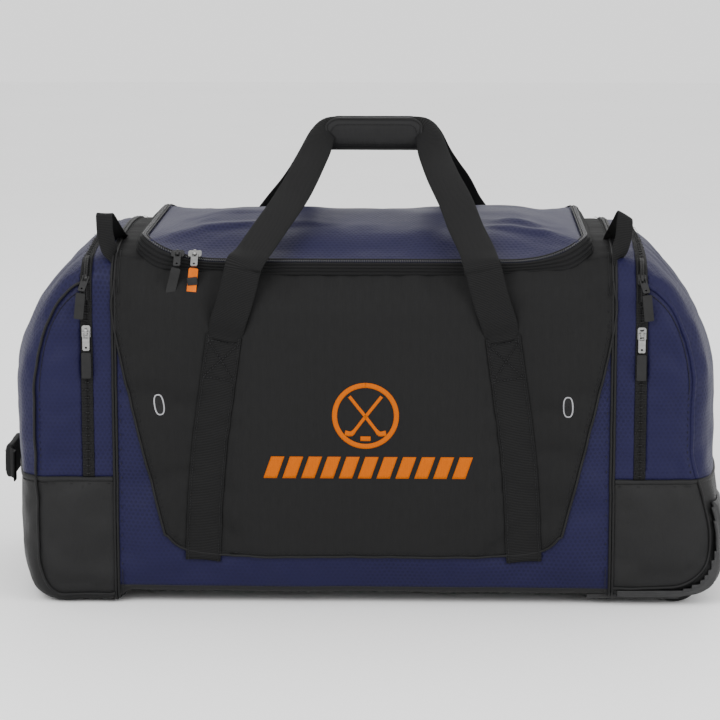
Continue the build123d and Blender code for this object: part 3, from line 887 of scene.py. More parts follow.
def sheet_grid(xs, zs, lift, thickness, face=-1):
    """A thin sheet laid on the skin, closed all round: xs and zs are rows of the same shape."""
    rows, columns = xs.shape
    verts = np.vstack([laid(xs.ravel(), zs.ravel(), level, face)[0] for level in (lift + thickness, lift)])
    n = rows * columns
    faces = []
    for quad in grid_faces(rows, columns):
        faces.append(quad if face < 0 else quad[::-1])
        faces.append([v + n for v in (quad[::-1] if face < 0 else quad)])
    rim = grid_rim(rows, columns)
    for a, b in zip(rim, rim[1:] + rim[:1]):
        quad = [b, a, a + n, b + n]
        faces.append(quad if face < 0 else quad[::-1])
    uv = np.stack([xs.ravel(), zs.ravel()], axis=1)
    return verts, faces, np.vstack([uv, uv])


def overlays():
    """The black fabric over the middle of the front and the rear, narrowing to the bottom."""
    heights = [z for _, z in OVERLAY][::-1]
    widths = [x for x, _ in OVERLAY][::-1]
    edge = curve_through(list(zip(widths, heights)), 90)
    top = DECK - EDGE + EDGE * math.pi / 2 + (HALF_DEPTH - EDGE - LID_Y) + 0.003
    zs = np.concatenate([np.linspace(0.0675, 0.11, 14), np.linspace(0.116, top, 62)])
    half = np.interp(zs, edge[:, 1], edge[:, 0])
    columns = np.linspace(-1, 1, 120)
    for name, face in (("front", -1), ("rear", 1)):
        xs = half[:, None] * columns[None, :]
        verts, faces, uv = sheet_grid(xs, np.repeat(zs[:, None], len(columns), axis=1), 0.0004, 0.0014, face)
        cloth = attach(mesh_object(f"{name}_overlay", verts, faces, BLACK, uv), "bag")
        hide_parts(f"{name}_panel")
        rope, thread = Batch(), Batch()
        outline = resample(np.vstack([edge[::-1] * (-1, 1), edge[1:]]), 420)
        p, out = laid(outline[:, 0], outline[:, 1], 0.0022, face)
        rope.add(*tube(p, 0.0017, up=out))
        rope.object(f"{name}_overlay_piping", PIPING, "bag")
        inner = np.vstack([edge[::-1] * (-0.982, 1) + (0, 0.004), edge[1:] * (0.982, 1) + (0, 0.004)])
        inner = resample(inner, 700)
        p, out = laid(inner[:, 0], inner[:, 1], 0.0019, face)
        stitches(thread, p, out)
        thread.object(f"{name}_overlay_stitches", THREAD, "bag")


def seam_pipings():
    """Two cords and a row of stitches round each of the end seams."""
    rope, thread = Batch(), Batch()
    for sign in (-1, 1):
        for offset in (-0.0019, 0.0019):
            q = box_ring(sign * (SEAM + offset))[:-1]
            p, n = on_skin(q)
            p[:, 0] = sign * (SEAM + offset)
            rope.add(*tube(draped(p, n, 0.0012), 0.0019, closed=True, up=n))
        q = box_ring(sign * (SEAM - 0.0075), count=500)
        p, n = on_skin(q)
        p[:, 0] = sign * (SEAM - 0.0075)
        stitches(thread, draped(p, n, 0.0019), n)
    rope_object = rope.object("seam_cords", PIPING, "bag")
    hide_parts("seam_piping")
    thread.object("seam_stitches", THREAD, "bag")


def corner_line(sign, face, theta, start, stop, count=200):
    """A line round a pocket's edge, theta degrees off the front, between two shares of the outline's length.
    The outline starts at the zip on top and ends at the seam on the bottom."""
    cx, top, low = HALF_LENGTH - EDGE, DECK - EDGE, BASE + EDGE
    a, b = SHOULDER - EDGE, CORNER - EDGE
    track = [(ZIP - 0.06, top), (cx - a, top)]
    track += [(cx - a + a * math.sin(t), top - a + a * math.cos(t)) for t in np.linspace(0.05, math.pi / 2, 24)]
    track += [(cx - b + b * math.cos(t), low + b - b * math.sin(t)) for t in np.linspace(0, math.pi / 2, 12)]
    track += [(SEAM, low)]
    core = resample(np.array(track), 600)
    total = line_length(core)
    at = np.linspace(start * total, stop * total, count)
    s = np.linspace(0, total, 600)
    c = np.stack([np.interp(at, s, core[:, 0]), np.interp(at, s, core[:, 1])], axis=1)
    out = -sideways(heading(c))
    t = math.radians(theta)
    q = np.stack([sign * (c[:, 0] + out[:, 0] * 0.05 * math.sin(t)),
                  face * (HALF_DEPTH - EDGE + 0.05 * math.cos(t)) * np.ones(count),
                  c[:, 1] + out[:, 1] * 0.05 * math.sin(t)], axis=1)
    return on_skin(q)


def pocket_edges():
    """Piping where the pockets' fronts meet their ends, and the hems of the coated lower parts."""
    rope = {"bag": Batch(), "left_flap": Batch(), "right_flap": Batch()}
    thread = {"bag": Batch(), "left_flap": Batch(), "right_flap": Batch()}
    fold, hems = Batch(), Batch()
    for side, sign in (("left", -1), ("right", 1)):
        for face in (-1, 1):
            p, n = corner_line(sign, face, 34, 0.02, 0.995, 900)
            shaped = draped(p, n, 0.0012)
            x = np.abs(p[:, 0])
            above = (p[:, 2] > POCKET_BASE + 0.001) & (x > ZIP + 0.004)
            below = p[:, 2] < POCKET_BASE - 0.001
            body = f"{side}_flap"
            if sign < 0:
                for offset in (-0.002, 0.002):
                    shift = np.zeros((len(p), 3)) + (0, offset, 0)
                    rope[body].add(*tube((shaped + shift)[above], 0.0017, up=n[above]))
                    rope["bag"].add(*tube((shaped + shift)[below], 0.0017, up=n[below]))
            else:
                fold.add(*tube(shaped[above] - n[above] * 0.0012, 0.0030, up=n[above]))
                rope["bag"].add(*tube(shaped[below], 0.0019, up=n[below]))
            p2, n2 = corner_line(sign, face, 20, 0.02, 0.97, 900)
            above = (p2[:, 2] > POCKET_BASE + 0.003) & (np.abs(p2[:, 0]) > ZIP + 0.010)
            stitches(thread[body], draped(p2, n2)[above], n2[above])
        hem(sign, hems, thread["bag"])
    for body, batch in rope.items():
        if batch.count:
            batch.object(f"{body}_edge_cords", PIPING, body)
    fold.object("right_flap_folded_edge", NAVY, "right_flap")
    for body, batch in thread.items():
        batch.object(f"{body}_edge_stitches", THREAD, body)
    hems.object("pocket_hems", COATED, "bag")


def hem(sign, hems, thread):
    """The folded top hem of a pocket's coated lower part."""
    x0, x1, d = SEAM + 0.003, HALF_LENGTH + 0.02, HALF_DEPTH + 0.02
    z = POCKET_BASE
    track = resample(np.array([(x0, -d, z), (x1, -d, z), (x1, d, z), (x0, d, z)], float), 700) * (sign, 1, 1)
    p, n = on_skin(track)
    p[:, 2] = z - 0.0035
    keep = np.abs(p[:, 0]) > SEAM + 0.003
    hems.add(*tube(draped(p, n, 0.0004)[keep], 0.0030, up=n[keep], flatten=0.55))
    p[:, 2] = z - 0.009
    stitches(thread, draped(p, n, 0.0001)[keep], n[keep])


overlays()
seam_pipings()
pocket_edges()


# ---------------------------------------------------------------- lid and its zip
LID_TREE = BVHTree.FromObject(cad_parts["lid"], bpy.context.evaluated_depsgraph_get())
LID_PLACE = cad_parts["lid"].matrix_world
# soft folds of the lid's cloth: each one's line, seen from above, and its width
LID_FOLDS = [
    (((-0.272, -0.175), (-0.250, -0.150), (-0.210, -0.112), (-0.130, -0.096), (-0.05, -0.090)), 0.011),
    (((-0.240, -0.060), (-0.195, -0.035), (-0.120, -0.030)), 0.014),
    (((0.272, -0.172), (0.240, -0.135), (0.190, -0.110), (0.150, -0.104)), 0.010),
    (((0.262, -0.120), (0.215, -0.085), (0.165, -0.070)), 0.012),
]


def lid_top(x, y):
    """The height of the lid's outside at x and y."""
    inverse = LID_PLACE.inverted()
    start = inverse @ Vector((x + MIDDLE, y, 1.0))
    way = inverse.to_3x3() @ Vector((0, 0, -1))
    hit = LID_TREE.ray_cast(start, way)[0]
    return (LID_PLACE @ hit).z if hit else RIM


def lid_ridge(p):
    """The lid's soft folds: 1 on a fold, 0 away from it."""
    out = np.zeros(len(p))
    for line, width in LID_FOLDS:
        track = resample(np.array(line), 60)
        gap = np.linalg.norm(p[:, None, :2] - track[None], axis=2)
        near = np.argmin(gap, axis=1)
        fade = np.sin(np.clip(near / 59, 0.02, 0.98) * math.pi) ** 0.6
        d = gap[np.arange(len(p)), near] / width
        below = p[:, 1] < track[near, 1]
        out += fade * np.exp(-((d * np.where(below, 1.5, 0.7)) ** 2))
    return out


def lid_cloth():
    """The lid's domed cloth, laid over the CAD's lid and sagging softly, with a skirt down to the zip."""
    nu, nv = ((110, 80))
    u, v = np.meshgrid(np.linspace(-1, 1, nu), np.linspace(-1, 1, nv))
    u, v = u.ravel(), v.ravel()
    r = np.maximum(np.abs(u), np.abs(v))
    q = np.stack([u * LID_X, v * LID_Y], axis=1)
    core = np.stack([np.clip(q[:, 0], -r * (LID_X - LID_CORNER), r * (LID_X - LID_CORNER)),
                     np.clip(q[:, 1], -r * (LID_Y - LID_CORNER), r * (LID_Y - LID_CORNER))], axis=1)
    away = q - core
    plan = core + unit(away) * (r * LID_CORNER)[:, None]
    plan = np.where(np.linalg.norm(away, axis=1, keepdims=True) > 1e-9, plan, q)
    z = np.array([lid_top(a, b) for a, b in plan * 0.9985])
    for _ in range(2):
        g = z.reshape(nv, nu)
        g[1:-1, 1:-1] = (g[1:-1, 1:-1] * 4 + g[:-2, 1:-1] + g[2:, 1:-1] + g[1:-1, :-2] + g[1:-1, 2:]) / 8
        z = g.ravel()
    p = np.stack([plan[:, 0], plan[:, 1], z], axis=1)
    loose = smooth(1.0, 0.80, r)
    fold = 0.0040 * value_noise(p @ np.array([[0.5, 0.2, 0], [0.2, 1.3, 0], [0, 0, 1.0]]), 0.085, 21)
    fold += 0.0020 * value_noise(p, 0.040, 23) + 0.0050 * value_noise(p, 0.17, 25)
    p[:, 2] += loose * (fold - 0.003 + 0.006 * lid_ridge(p))
    p += rim_rise(p) * smooth(0.62, 1.0, r)[:, None]
    # nothing stands high above the crest, which falls towards the lid's ends
    crest = RIM + LID_RISE - 0.0025 - 0.021 * smooth(0.165, LID_X, np.abs(p[:, 0]))
    p[:, 2] = np.where(p[:, 2] > crest, crest + 0.30 * (p[:, 2] - crest), p[:, 2])
    faces = grid_faces(nv, nu)
    # the edge turns down to the zip
    edge = grid_rim(nv, nu)
    skirt = p[edge].copy()
    skirt[:, 2] = np.minimum(skirt[:, 2], RIM + rim_rise(skirt)[:, 2]) - 0.006
    n = len(p)
    for k in range(len(edge)):
        m = (k + 1) % len(edge)
        faces.append([edge[m], edge[k], n + k, n + m])
    verts = np.vstack([p, skirt])
    obj = mesh_object("lid_cloth", verts, faces, NAVY, verts[:, :2])
    thicken(obj, 0.0016)
    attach(obj, "lid")
    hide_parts("lid")


def track_points(grow, z, count):
    """Points round the lid at height z, which follow the rim's rise, and the directions out of the lid."""
    line = lid_outline(grow, count)
    p = np.column_stack([line, np.full(count, z)])
    out = np.column_stack([np.gradient(line[:, 1]), -np.gradient(line[:, 0]), np.zeros(count)])
    return p + rim_rise(p), unit(out)


def zip_band():
    """The ribbed black band from the deck up to the zip, all round the opening."""
    count = 720
    lower, upper = lid_outline(0.0085, count), lid_outline(0.0025, count)
    low = np.column_stack([lower, deck_height(lower[:, 1]) - 0.0015])
    high = np.column_stack([upper, np.full(count, RIM + 0.0005)])
    low, high = low + deck_rise(low), high + rim_rise(high)
    along = unit(np.roll(high, -1, axis=0) - np.roll(high, 1, axis=0))
    along[[0, -1]] = along[[1, -2]]
    face = unit(np.cross(high - low, along))
    face *= np.where(face[:, 2:3] < 0, -1, 1)
    grid = []
    for t in np.linspace(0, 1, 49):
        bulge = 0.0020 * math.sin(math.pi * t) + 0.0019 * abs(math.sin(math.pi * 4 * t))
        grid.append(low * (1 - t) + high * t + face * bulge)
    grid.append(high - face * 0.003 - (0, 0, 0.004))
    rows = len(grid)
    at = distance_along(lower)
    uv = [(s, 0.0008 * i) for i in range(rows) for s in at]
    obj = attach(mesh_object("zip_band", np.vstack(grid), grid_faces(rows, count), TAPE, uv), "bag")
    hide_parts("body_zip")
    teeth, lid_teeth = Batch(), Batch()
    count = 1300
    for batch, grow, z in ((teeth, 0.0012, RIM + 0.0018), (lid_teeth, -0.0012, RIM + 0.0022)):
        p, out = track_points(grow, z, count)
        keep = p[:, 1] < LID_Y - 0.045
        way = heading(p)
        for i in range(0, count, 2):
            if keep[i]:
                tooth(batch, p[i], out[i], way[i])
    teeth.object("body_coil", COIL, "bag")
    coil = lid_teeth.object("lid_coil", COIL, "lid")
    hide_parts("lid_zip")
    rope = Batch()
    p, out = track_points(-0.0040, RIM + 0.0035, 500)
    rope.add(*tube(p, 0.0011))
    rope.object("lid_edge_binding", PIPING, "lid")


def tooth(batch, p, out, way, up=None):
    """One rounded tooth of a coil zip."""
    up = unit(np.cross(out, way)) if up is None else up
    a, b, c = out * 0.0013, way * 0.00062, up * 0.0010
    corners = [p + i * a + j * b + k * c * (0.55 if abs(i) > 0.9 else 1)
               for i in (-1, -0.4, 0.4, 1) for j, k in ((-1, -1), (1, -1), (1, 1), (-1, 1))]
    faces = [[3, 2, 1, 0], [12, 13, 14, 15]]
    for s in range(3):
        faces += [[s * 4 + t, s * 4 + (t + 1) % 4, s * 4 + 4 + (t + 1) % 4, s * 4 + 4 + t] for t in range(4)]
    batch.add(corners, faces)


lid_cloth()
zip_band()


# ---------------------------------------------------------------- the pockets' zips
def pocket_zips():
    """The two coils and two rows of stitches of each pocket's zip."""
    for side, sign in (("left", -1), ("right", 1)):
        for name, offset, body in (("inner", -0.0013, "bag"), ("outer", 0.0013, f"{side}_flap")):
            batch, thread = Batch(), Batch()
            x = sign * (ZIP + offset)
            d, top = HALF_DEPTH + 0.02, DECK + 0.02
            q = resample(np.array([(x, -d, POCKET_BASE), (x, -d, top), (x, d, top), (x, d, POCKET_BASE)]), 900)
            p, n = on_skin(q)
            p[:, 0] = x
            keep = p[:, 2] > POCKET_BASE + 0.004
            p, n = p[keep], n[keep]
            p = draped(p, n, 0.0018)
            count = int(line_length(p) / 0.0024)
            both = resample(np.hstack([p, n]), count)
            way = heading(both[:, :3])
            for i in range(count):
                up = unit(both[i, 3:])
                tooth(batch, both[i, :3], unit(np.cross(way[i], up)), way[i], up)
            batch.object(f"{side}_{name}_coil", COIL_DARK, body)
            x = sign * (ZIP + offset * 4.6)
            p, n = on_skin(q)
            p[:, 0] = x
            p, n = p[keep], n[keep]
            stitches(thread, draped(p, n, 0.0008), n)
            thread.object(f"{side}_{name}_zip_stitches", THREAD, body)


pocket_zips()


# ---------------------------------------------------------------- webbing handles
def sewn_straps():
    """The webbing sewn down the front and the rear, with a crossed box of stitches at each strap's top."""
    batch, thread = Batch(), Batch()
    for face in (-1, 1):
        for sign in (-1, 1):
            line = np.array([(sign * x, z) for z, x in STRAP_LINE])
            line = curve_through([(line[0][0] + sign * 0.0005, 0.060), line[1], (line[-1][0], 0.353)], 70)
            side = sideways(heading(line))
            us = np.array([-1, -0.94, -0.7, -0.35, 0, 0.35, 0.7, 0.94, 1]) * 0.0228
            xs = line[:, None, 0] + side[:, None, 0] * us[None, :]
            zs = line[:, None, 1] + side[:, None, 1] * us[None, :]
            verts, faces, _ = sheet_grid(xs, zs, 0.0018, 0.0018, face)
            at = distance_along(line)
            uv = np.stack([np.broadcast_to(us[None, :], xs.shape).ravel(),
                           np.broadcast_to(at[:, None], xs.shape).ravel()], axis=1)
            batch.add(verts, faces, np.vstack([uv, uv]))
            for edge in (-0.0195, 0.0195):
                row = line + side * edge
                p, out = laid(row[:, 0], row[:, 1], 0.0037, face)
                stitches(thread, p, out)
            a, b = line[-3] - side[-3] * 0.0195, line[-3] + side[-3] * 0.0195
            c, d = line[-14] - side[-14] * 0.0195, line[-14] + side[-14] * 0.0195
            for start, end in ((a, b), (c, d), (a, d), (b, c)):
                row = np.linspace(start, end, 24)
                p, out = laid(row[:, 0], row[:, 1], 0.0037, face)
                stitches(thread, p, out, radius=0.0006)
    straps = batch.object("sewn_webbing", WEBBING, "bag")
    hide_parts("sewn_straps")
    thread.object("sewn_webbing_stitches", THREAD, "bag")


def mirrored(points, face):
    """Points drawn for the front, or for the rear when face is 1."""
    points = np.array(points, float)
    if face > 0:
        points = points * (1, -1, 1)
    return points


WEB_HALF = 0.0232
WEB_THICK = 0.0026
# the front handle's webbing in millimetres, from the fold over the edge up to the middle of the grip
RISER_PATH = [(178.5, -217.4, 346), (176.5, -219.5, 356), (172, -226.5, 374), (164, -232, 398),
              (157, -235.8, 424), (153, -237.0, 441), (150.5, -232.5, 449.5)]
LOOP_PATHS = {
    -1: [(-153.0, -236.5, 437), (-151.0, -237.0, 448), (-138, -212.5, 463), (-120, -175, 487),
         (-101, -135, 514), (-84, -92, 541), (-70, -52, 567), (-61, -24, 588), (-53, -13, 599),
         (-40, -9.8, 602), (-10, -9.5, 601), (12, -9.5, 601)],
    1: [(152.0, -236.5, 437), (150.0, -237.0, 448), (144, -212.5, 463), (131, -175, 487),
        (118.6, -135, 514), (102, -92, 541), (90, -52, 567), (83, -24, 588), (76, -13, 599),
        (64, -9.8, 602), (34, -9.5, 601), (12, -9.5, 601)],
}


def handle_webbing():
    """Each handle's webbing: a riser from the panel to the edge, and a loop from the edge to the grip."""
    for name, face in (("front", -1), ("rear", 1)):
        riser, loop = Batch(), Batch()
        for sign in (-1, 1):
            path = curve_through(np.array(RISER_PATH) / 1000 * (sign, 1, 1), 40)
            base, _ = laid(path[:1, 0], path[:1, 2], 0.0035, -1)
            path = path + (base[0] - path[0]) * smooth(0.415, 0.35, path[:, 2])[:, None]
            across = unit(np.cross(heading(path), (0, -1, 0.2)))
            thin = np.interp(np.linspace(0, 1, 40), [0, 0.86, 0.97, 1], [1, 1, 0.4, 0.15])
            riser.add(*ribbon(mirrored(path, face), mirrored(across, face), WEB_HALF,
                              WEB_THICK * thin, 0.0012 * thin))
            path = curve_through(np.array(LOOP_PATHS[sign]) / 1000, 120)
            tangent = heading(path)
            s = np.linspace(0, 1, len(path))
            turned = smooth(0.76, 0.86, s)[:, None]
            plane = np.array([0, -0.51, 0.86]) * (1 - turned) + np.array([0, -1, 0.12]) * turned
            start = smooth(0.10, 0.0, s)[:, None]
            plane = unit(plane * (1 - start) + np.array([0, -0.98, 0.2]) * start)
            across = unit(np.cross(tangent, plane))
            half = np.interp(s, [0, 0.10, 0.45, 0.70, 0.78, 0.84, 1],
                             [WEB_HALF, WEB_HALF, 0.0228, 0.0205, 0.0185, 0.0135, 0.0120])
            path = path + plane * (0.0016 * np.sin(s * 13 + sign) * np.sin(s * math.pi))[:, None]
            thick = np.interp(s, [0, 0.05, 1], [0.12, 1, 1])
            crown = 0.0014 + 0.0050 * np.exp(-(((s - 0.80) / 0.05) ** 2))
            path = path + plane * (0.0012 * smooth(0.0, 0.05, s))[:, None]
            loop.add(*ribbon(mirrored(path, face), mirrored(across, face), half,
                             WEB_THICK * thick, crown * thick))
        obj = riser.mesh(f"{name}_riser_webbing", WEBBING)
        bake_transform(obj)
        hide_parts(f"{name}_riser")
        obj = loop.mesh(f"{name}_loop_webbing", WEBBING)
        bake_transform(obj)
        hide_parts(f"{name}_handle_loop")
        grip(name, face)


def cushion(length, section, ends):
    """A pad along X: section is a closed outline (y, z), which draws in over the last stretch of each end."""
    xs = np.concatenate([length[0] + ends * (1 - np.cos(np.linspace(0, math.pi / 2, 9))),
                         np.linspace(length[0] + ends, length[1] - ends, 60)[1:-1],
                         length[1] - ends * (1 - np.cos(np.linspace(math.pi / 2, 0, 9)))])
    centre = section.mean(axis=0)
    verts, uv = [], []
    around = distance_along(section)
    for x in xs:
        near = min(x - length[0], length[1] - x)
        k = 0.80 + 0.20 * math.sqrt(max(0, 1 - (1 - min(1, near / ends)) ** 2))
        for (y, z), s in zip(section, around):
            verts.append((x, centre[0] + (y - centre[0]) * k, centre[1] + (z - centre[1]) * k))
            uv.append((x, s))
    m = len(section)
    faces = ring_faces(len(xs), m)
    faces += [list(range(m)), [(len(xs) - 1) * m + k for k in range(m - 1, -1, -1)]]
    return np.array(verts), faces, uv


def grip(name, face):
    """Half of the padded wrap that closes round both handles."""
    lo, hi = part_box(f"{name}_grip")
    x0, x1 = lo.x - MIDDLE - 0.001, hi.x - MIDDLE + 0.001
    z0, z1 = lo.z - 0.001, hi.z + 0.001
    depth = 0.0225
    middle = (z0 + z1) / 2
    ts = np.linspace(-math.pi / 2, math.pi / 2, 34)
    outline = [(-depth * math.cos(t) ** 0.62, middle + (z1 - z0) / 2 * squared(math.sin(t), 0.62)) for t in ts]
    section = np.array(outline + [(-0.0004, z) for z in np.linspace(z1, z0, 12)[1:-1]])
    verts, faces, uv = cushion((x0, x1), section, 0.007)
    near = np.minimum(verts[:, 0] - x0, x1 - verts[:, 0])
    # the wrap's upper corners are cut round
    round_off = 1 - np.clip(near / 0.017, 0, 1)
    top = z0 + (z1 - z0) * (1 - 0.42 * (1 - np.sqrt(1 - round_off**2)))
    verts[:, 2] = z0 + (verts[:, 2] - z0) * (top - z0) / (z1 - z0)
    wrinkle = 0.0006 * value_noise(verts, 0.022, 31)
    verts[:, 1] -= np.where(verts[:, 1] < -0.004, wrinkle, 0)
    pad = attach(mesh_object(f"{name}_grip_pad", mirrored(verts, face), faces, GRIP_CLOTH, uv), f"{name}_loop")
    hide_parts(f"{name}_grip")
    trim, thread = Batch(), Batch()
    # binding round the wrap's open edge, seen as a dark frame
    outer = rounded_frame(x0 + 0.001, x1 - 0.001, z0 + 0.0015, z1 - 0.0015, 0.004, 0.017)
    tree = BVHTree.FromPolygons([tuple(v) for v in verts], faces)
    ring = []
    for x, z in resample(np.array(outer), 260):
        cx = min(max(x, x0 + 0.003), x1 - 0.003)
        hit = tree.ray_cast(Vector((cx, -0.2, z)), Vector((0, 1, 0)))[0]
        ring.append((cx, hit.y - 0.0004 if hit else -0.004, z))
    trim.add(*tube(mirrored(np.array(ring), face), 0.0021, up=mirrored(np.array([0, -1.0, 0]), face)))
    inner = rounded_frame(x0 + 0.009, x1 - 0.009, z0 + 0.008, z1 - 0.008, 0.004, 0.011)
    ring = []
    for x, z in resample(np.array(inner), 160):
        hit = tree.ray_cast(Vector((x, -0.2, z)), Vector((0, 1, 0)))[0]
        if hit:
            ring.append((x, hit.y - 0.0001, z))
    ring = np.array(ring)
    stitches(thread, mirrored(ring, face), mirrored(np.tile((0.0, -1, 0), (len(ring), 1)), face))
    trim.object(f"{name}_grip_binding", PIPING, f"{name}_loop")
    thread.object(f"{name}_grip_stitches", THREAD, f"{name}_loop")


def rounded_frame(x0, x1, z0, z1, low, high):
    """A closed frame whose lower corners have the radius low and whose upper corners have the radius high."""
    out = []
    for cx, cz, r, start in ((x1 - high, z1 - high, high, 90), (x1 - low, z0 + low, low, 0),
                             (x0 + low, z0 + low, low, -90), (x0 + high, z1 - high, high, -180)):
        out += [(cx + r * math.cos(math.radians(start - t)), cz + r * math.sin(math.radians(start - t)))
                for t in range(0, 91, 10)]
    return out + [out[0]]


# which way the width of each grab loop points at its top
LOOP_TOPS = {"left": np.array([-1.0, 0.0, 0.02]), "right": np.array([0.86, 0.0, -0.52])}
# a grab loop's webbing in millimetres, from its front foot over the top to its rear foot
TOP_LOOP_PATH = [(320, -192, 428), (321, -193, 446), (327, -193, 462), (331.5, -192, 480), (333, -189.5, 497),
                 (333.5, -183, 505), (332, -172, 503), (327, -146, 486), (319, -112, 463), (314, -86, 452)]


def top_loops():
    """Grab loops sewn into the end seams, twisted so that their tops lie flat."""
    for side, sign in (("left", -1), ("right", 1)):
        path = curve_through(np.array(TOP_LOOP_PATH) / 1000 * (sign, 1, 1), 90)
        s = np.linspace(0, 1, len(path))
        twist = smooth(0.04, 0.24, s) * (1 - smooth(0.72, 0.96, s))
        start, top = np.array([0, sign * 1.0, 0]), LOOP_TOPS[side]
        across = start[None, :] * (1 - twist)[:, None] + top[None, :] * twist[:, None]
        obj = Batch()
        obj.add(*ribbon(path, across, 0.0105, 0.0024, 0.0006))
        piece = obj.object(f"{side}_top_loop_webbing", WEBBING, f"{side}_loop")
        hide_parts(f"{side}_top_loop")


def end_handle():
    """The pull handle on the end without wheels: a strap sewn flat at both ends, with a pad in its middle."""
    lo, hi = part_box("end_handle_grip")
    z = (lo.z + hi.z) / 2
    reach = -lo.x + MIDDLE
    path = np.array([(-(HALF_LENGTH + 0.0015), -0.083, z), (-(HALF_LENGTH + 0.002), -0.066, z),
                     (-(reach - 0.008), -0.049, z), (-(reach - 0.0065), 0, z), (-(reach - 0.008), 0.049, z),
                     (-(HALF_LENGTH + 0.002), 0.066, z), (-(HALF_LENGTH + 0.0015), 0.083, z)])
    path = curve_through(path, 90)
    p, n = on_skin(path[[0, -1]] - (0.02, 0, 0))
    moved = (draped(p, n) - p)[:, 0].min()
    path[:, 0] += moved * smooth(0.040, 0.070, np.abs(path[:, 1]))
    obj = Batch()
    obj.add(*ribbon(path, (0, 0, 1), 0.0200, WEB_THICK, 0.0))
    strap = obj.object("end_handle_webbing", WEBBING, "bag")
    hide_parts("end_handle_strap")
    ts = np.linspace(0, 2 * math.pi, 40, endpoint=False)
    section = np.array([(-(reach - 0.0055) - 0.0065 * squared(math.cos(t), 0.6),
                         z + 0.0225 * squared(math.sin(t), 0.6)) for t in ts])
    verts, faces, uv = cushion((-0.046, 0.046), section, 0.006)
    verts = verts[:, [1, 0, 2]]
    verts[:, 0] -= 0.0007 * value_noise(verts, 0.018, 35)
    faces = [f[::-1] for f in faces]
    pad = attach(mesh_object("end_handle_pad", verts, faces, GRIP_CLOTH, uv), "bag")
    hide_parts("end_handle_grip")
    thread = Batch()
    for dz in (-0.013, 0.013):
        row = np.column_stack([np.full(60, -(reach + 0.0011)), np.linspace(-0.040, 0.040, 60),
                               np.full(60, z + dz)])
        stitches(thread, row, np.tile((-1.0, 0, 0), (60, 1)))
    thread.object("end_handle_stitches", THREAD, "bag")


sewn_straps()
handle_webbing()
top_loops()
end_handle()


# ---------------------------------------------------------------- printed marks and vents
def print_shape(batch, xs, zs):
    """A shape printed on the front."""
    batch.add(*sheet_grid(xs, zs, 0.0021, 0.0003))


def band_shape(batch, line, half):
    """A printed band along a line (x, z)."""
    line = np.array(line, float)
    side = sideways(heading(line))
    half = np.broadcast_to(half, (len(line),))
    us = np.linspace(-1, 1, 4)
    xs = line[:, None, 0] + side[:, None, 0] * us[None, :] * half[:, None]
    zs = line[:, None, 1] + side[:, None, 1] * us[None, :] * half[:, None]
    print_shape(batch, xs[:, ::-1], zs[:, ::-1])


def emblem():
    """A ring round crossed sticks and a puck, over a row of slanted bars."""
    batch = Batch()
    cx, cz, radius = 0.003, 0.252, 0.0393
    ts = np.linspace(0, 2 * math.pi, 120)
    band_shape(batch, [(cx + radius * math.sin(t), cz + radius * math.cos(t)) for t in ts], 0.0032)
    for sign in (-1, 1):
        stick = [(0.0205, 0.0250), (0.0, -0.0010), (-0.0150, -0.0205), (-0.0190, -0.0232), (-0.0262, -0.0222)]
        shaft = curve_through([(cx + sign * x, cz + z) for x, z in stick], 50)
        width = np.interp(np.linspace(0, 1, 50), [0, 0.78, 0.86, 1.0], [0.0021, 0.0021, 0.0030, 0.0034])
        band_shape(batch, shaft, width)
    band_shape(batch, [(cx - 0.0065 + 0.013 * t, cz - 0.0295) for t in np.linspace(0, 1, 8)], 0.0030)
    start, width, gap, low, high, slant = -0.127, 0.0170, 0.0070, 0.171, 0.199, 0.35
    for k in range(11):
        a = np.linspace(0, width, 6)
        b = np.linspace(low, high, 8)
        xs = start + k * (width + gap) + a[None, :] + (b[:, None] - low) * slant
        print_shape(batch, xs, np.repeat(b[:, None], 6, axis=1))
    batch.object("printed_marks", PRINT, "bag")


def vents():
    """Oval rings with a dark mesh inside, two on the front."""
    rings, mesh = Batch(), Batch()
    for sign, lean in ((-1, math.radians(10)), (1, 0.0)):
        ts = np.linspace(0, 2 * math.pi, 72, endpoint=False)
        half = np.array([(0.0058 * squared(math.sin(t), 0.75), 0.0128 * squared(math.cos(t), 0.8)) for t in ts])
        turned = np.stack([half[:, 0] * math.cos(lean) + half[:, 1] * math.sin(lean) * sign,
                           half[:, 1] * math.cos(lean) - half[:, 0] * math.sin(lean) * sign], axis=1)
        p, out = laid(sign * VENT[0] + turned[:, 0], VENT[1] + turned[:, 1], 0.0022)
        rings.add(*tube(p, 0.0009, up=out, closed=True, flatten=0.8))
        xs = sign * VENT[0] + turned[None, :, 0] * np.linspace(0.05, 0.98, 8)[:, None]
        zs = VENT[1] + turned[None, :, 1] * np.linspace(0.05, 0.98, 8)[:, None]
        mesh.add(*sheet_grid(np.hstack([xs, xs[:, :1]]), np.hstack([zs, zs[:, :1]]), 0.0019, 0.0002))
    ring = rings.object("vent_rings", VENT_RING, "bag")
    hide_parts("vent_grommets")
    mesh.object("vent_mesh", PIPING, "bag")


emblem()
vents()


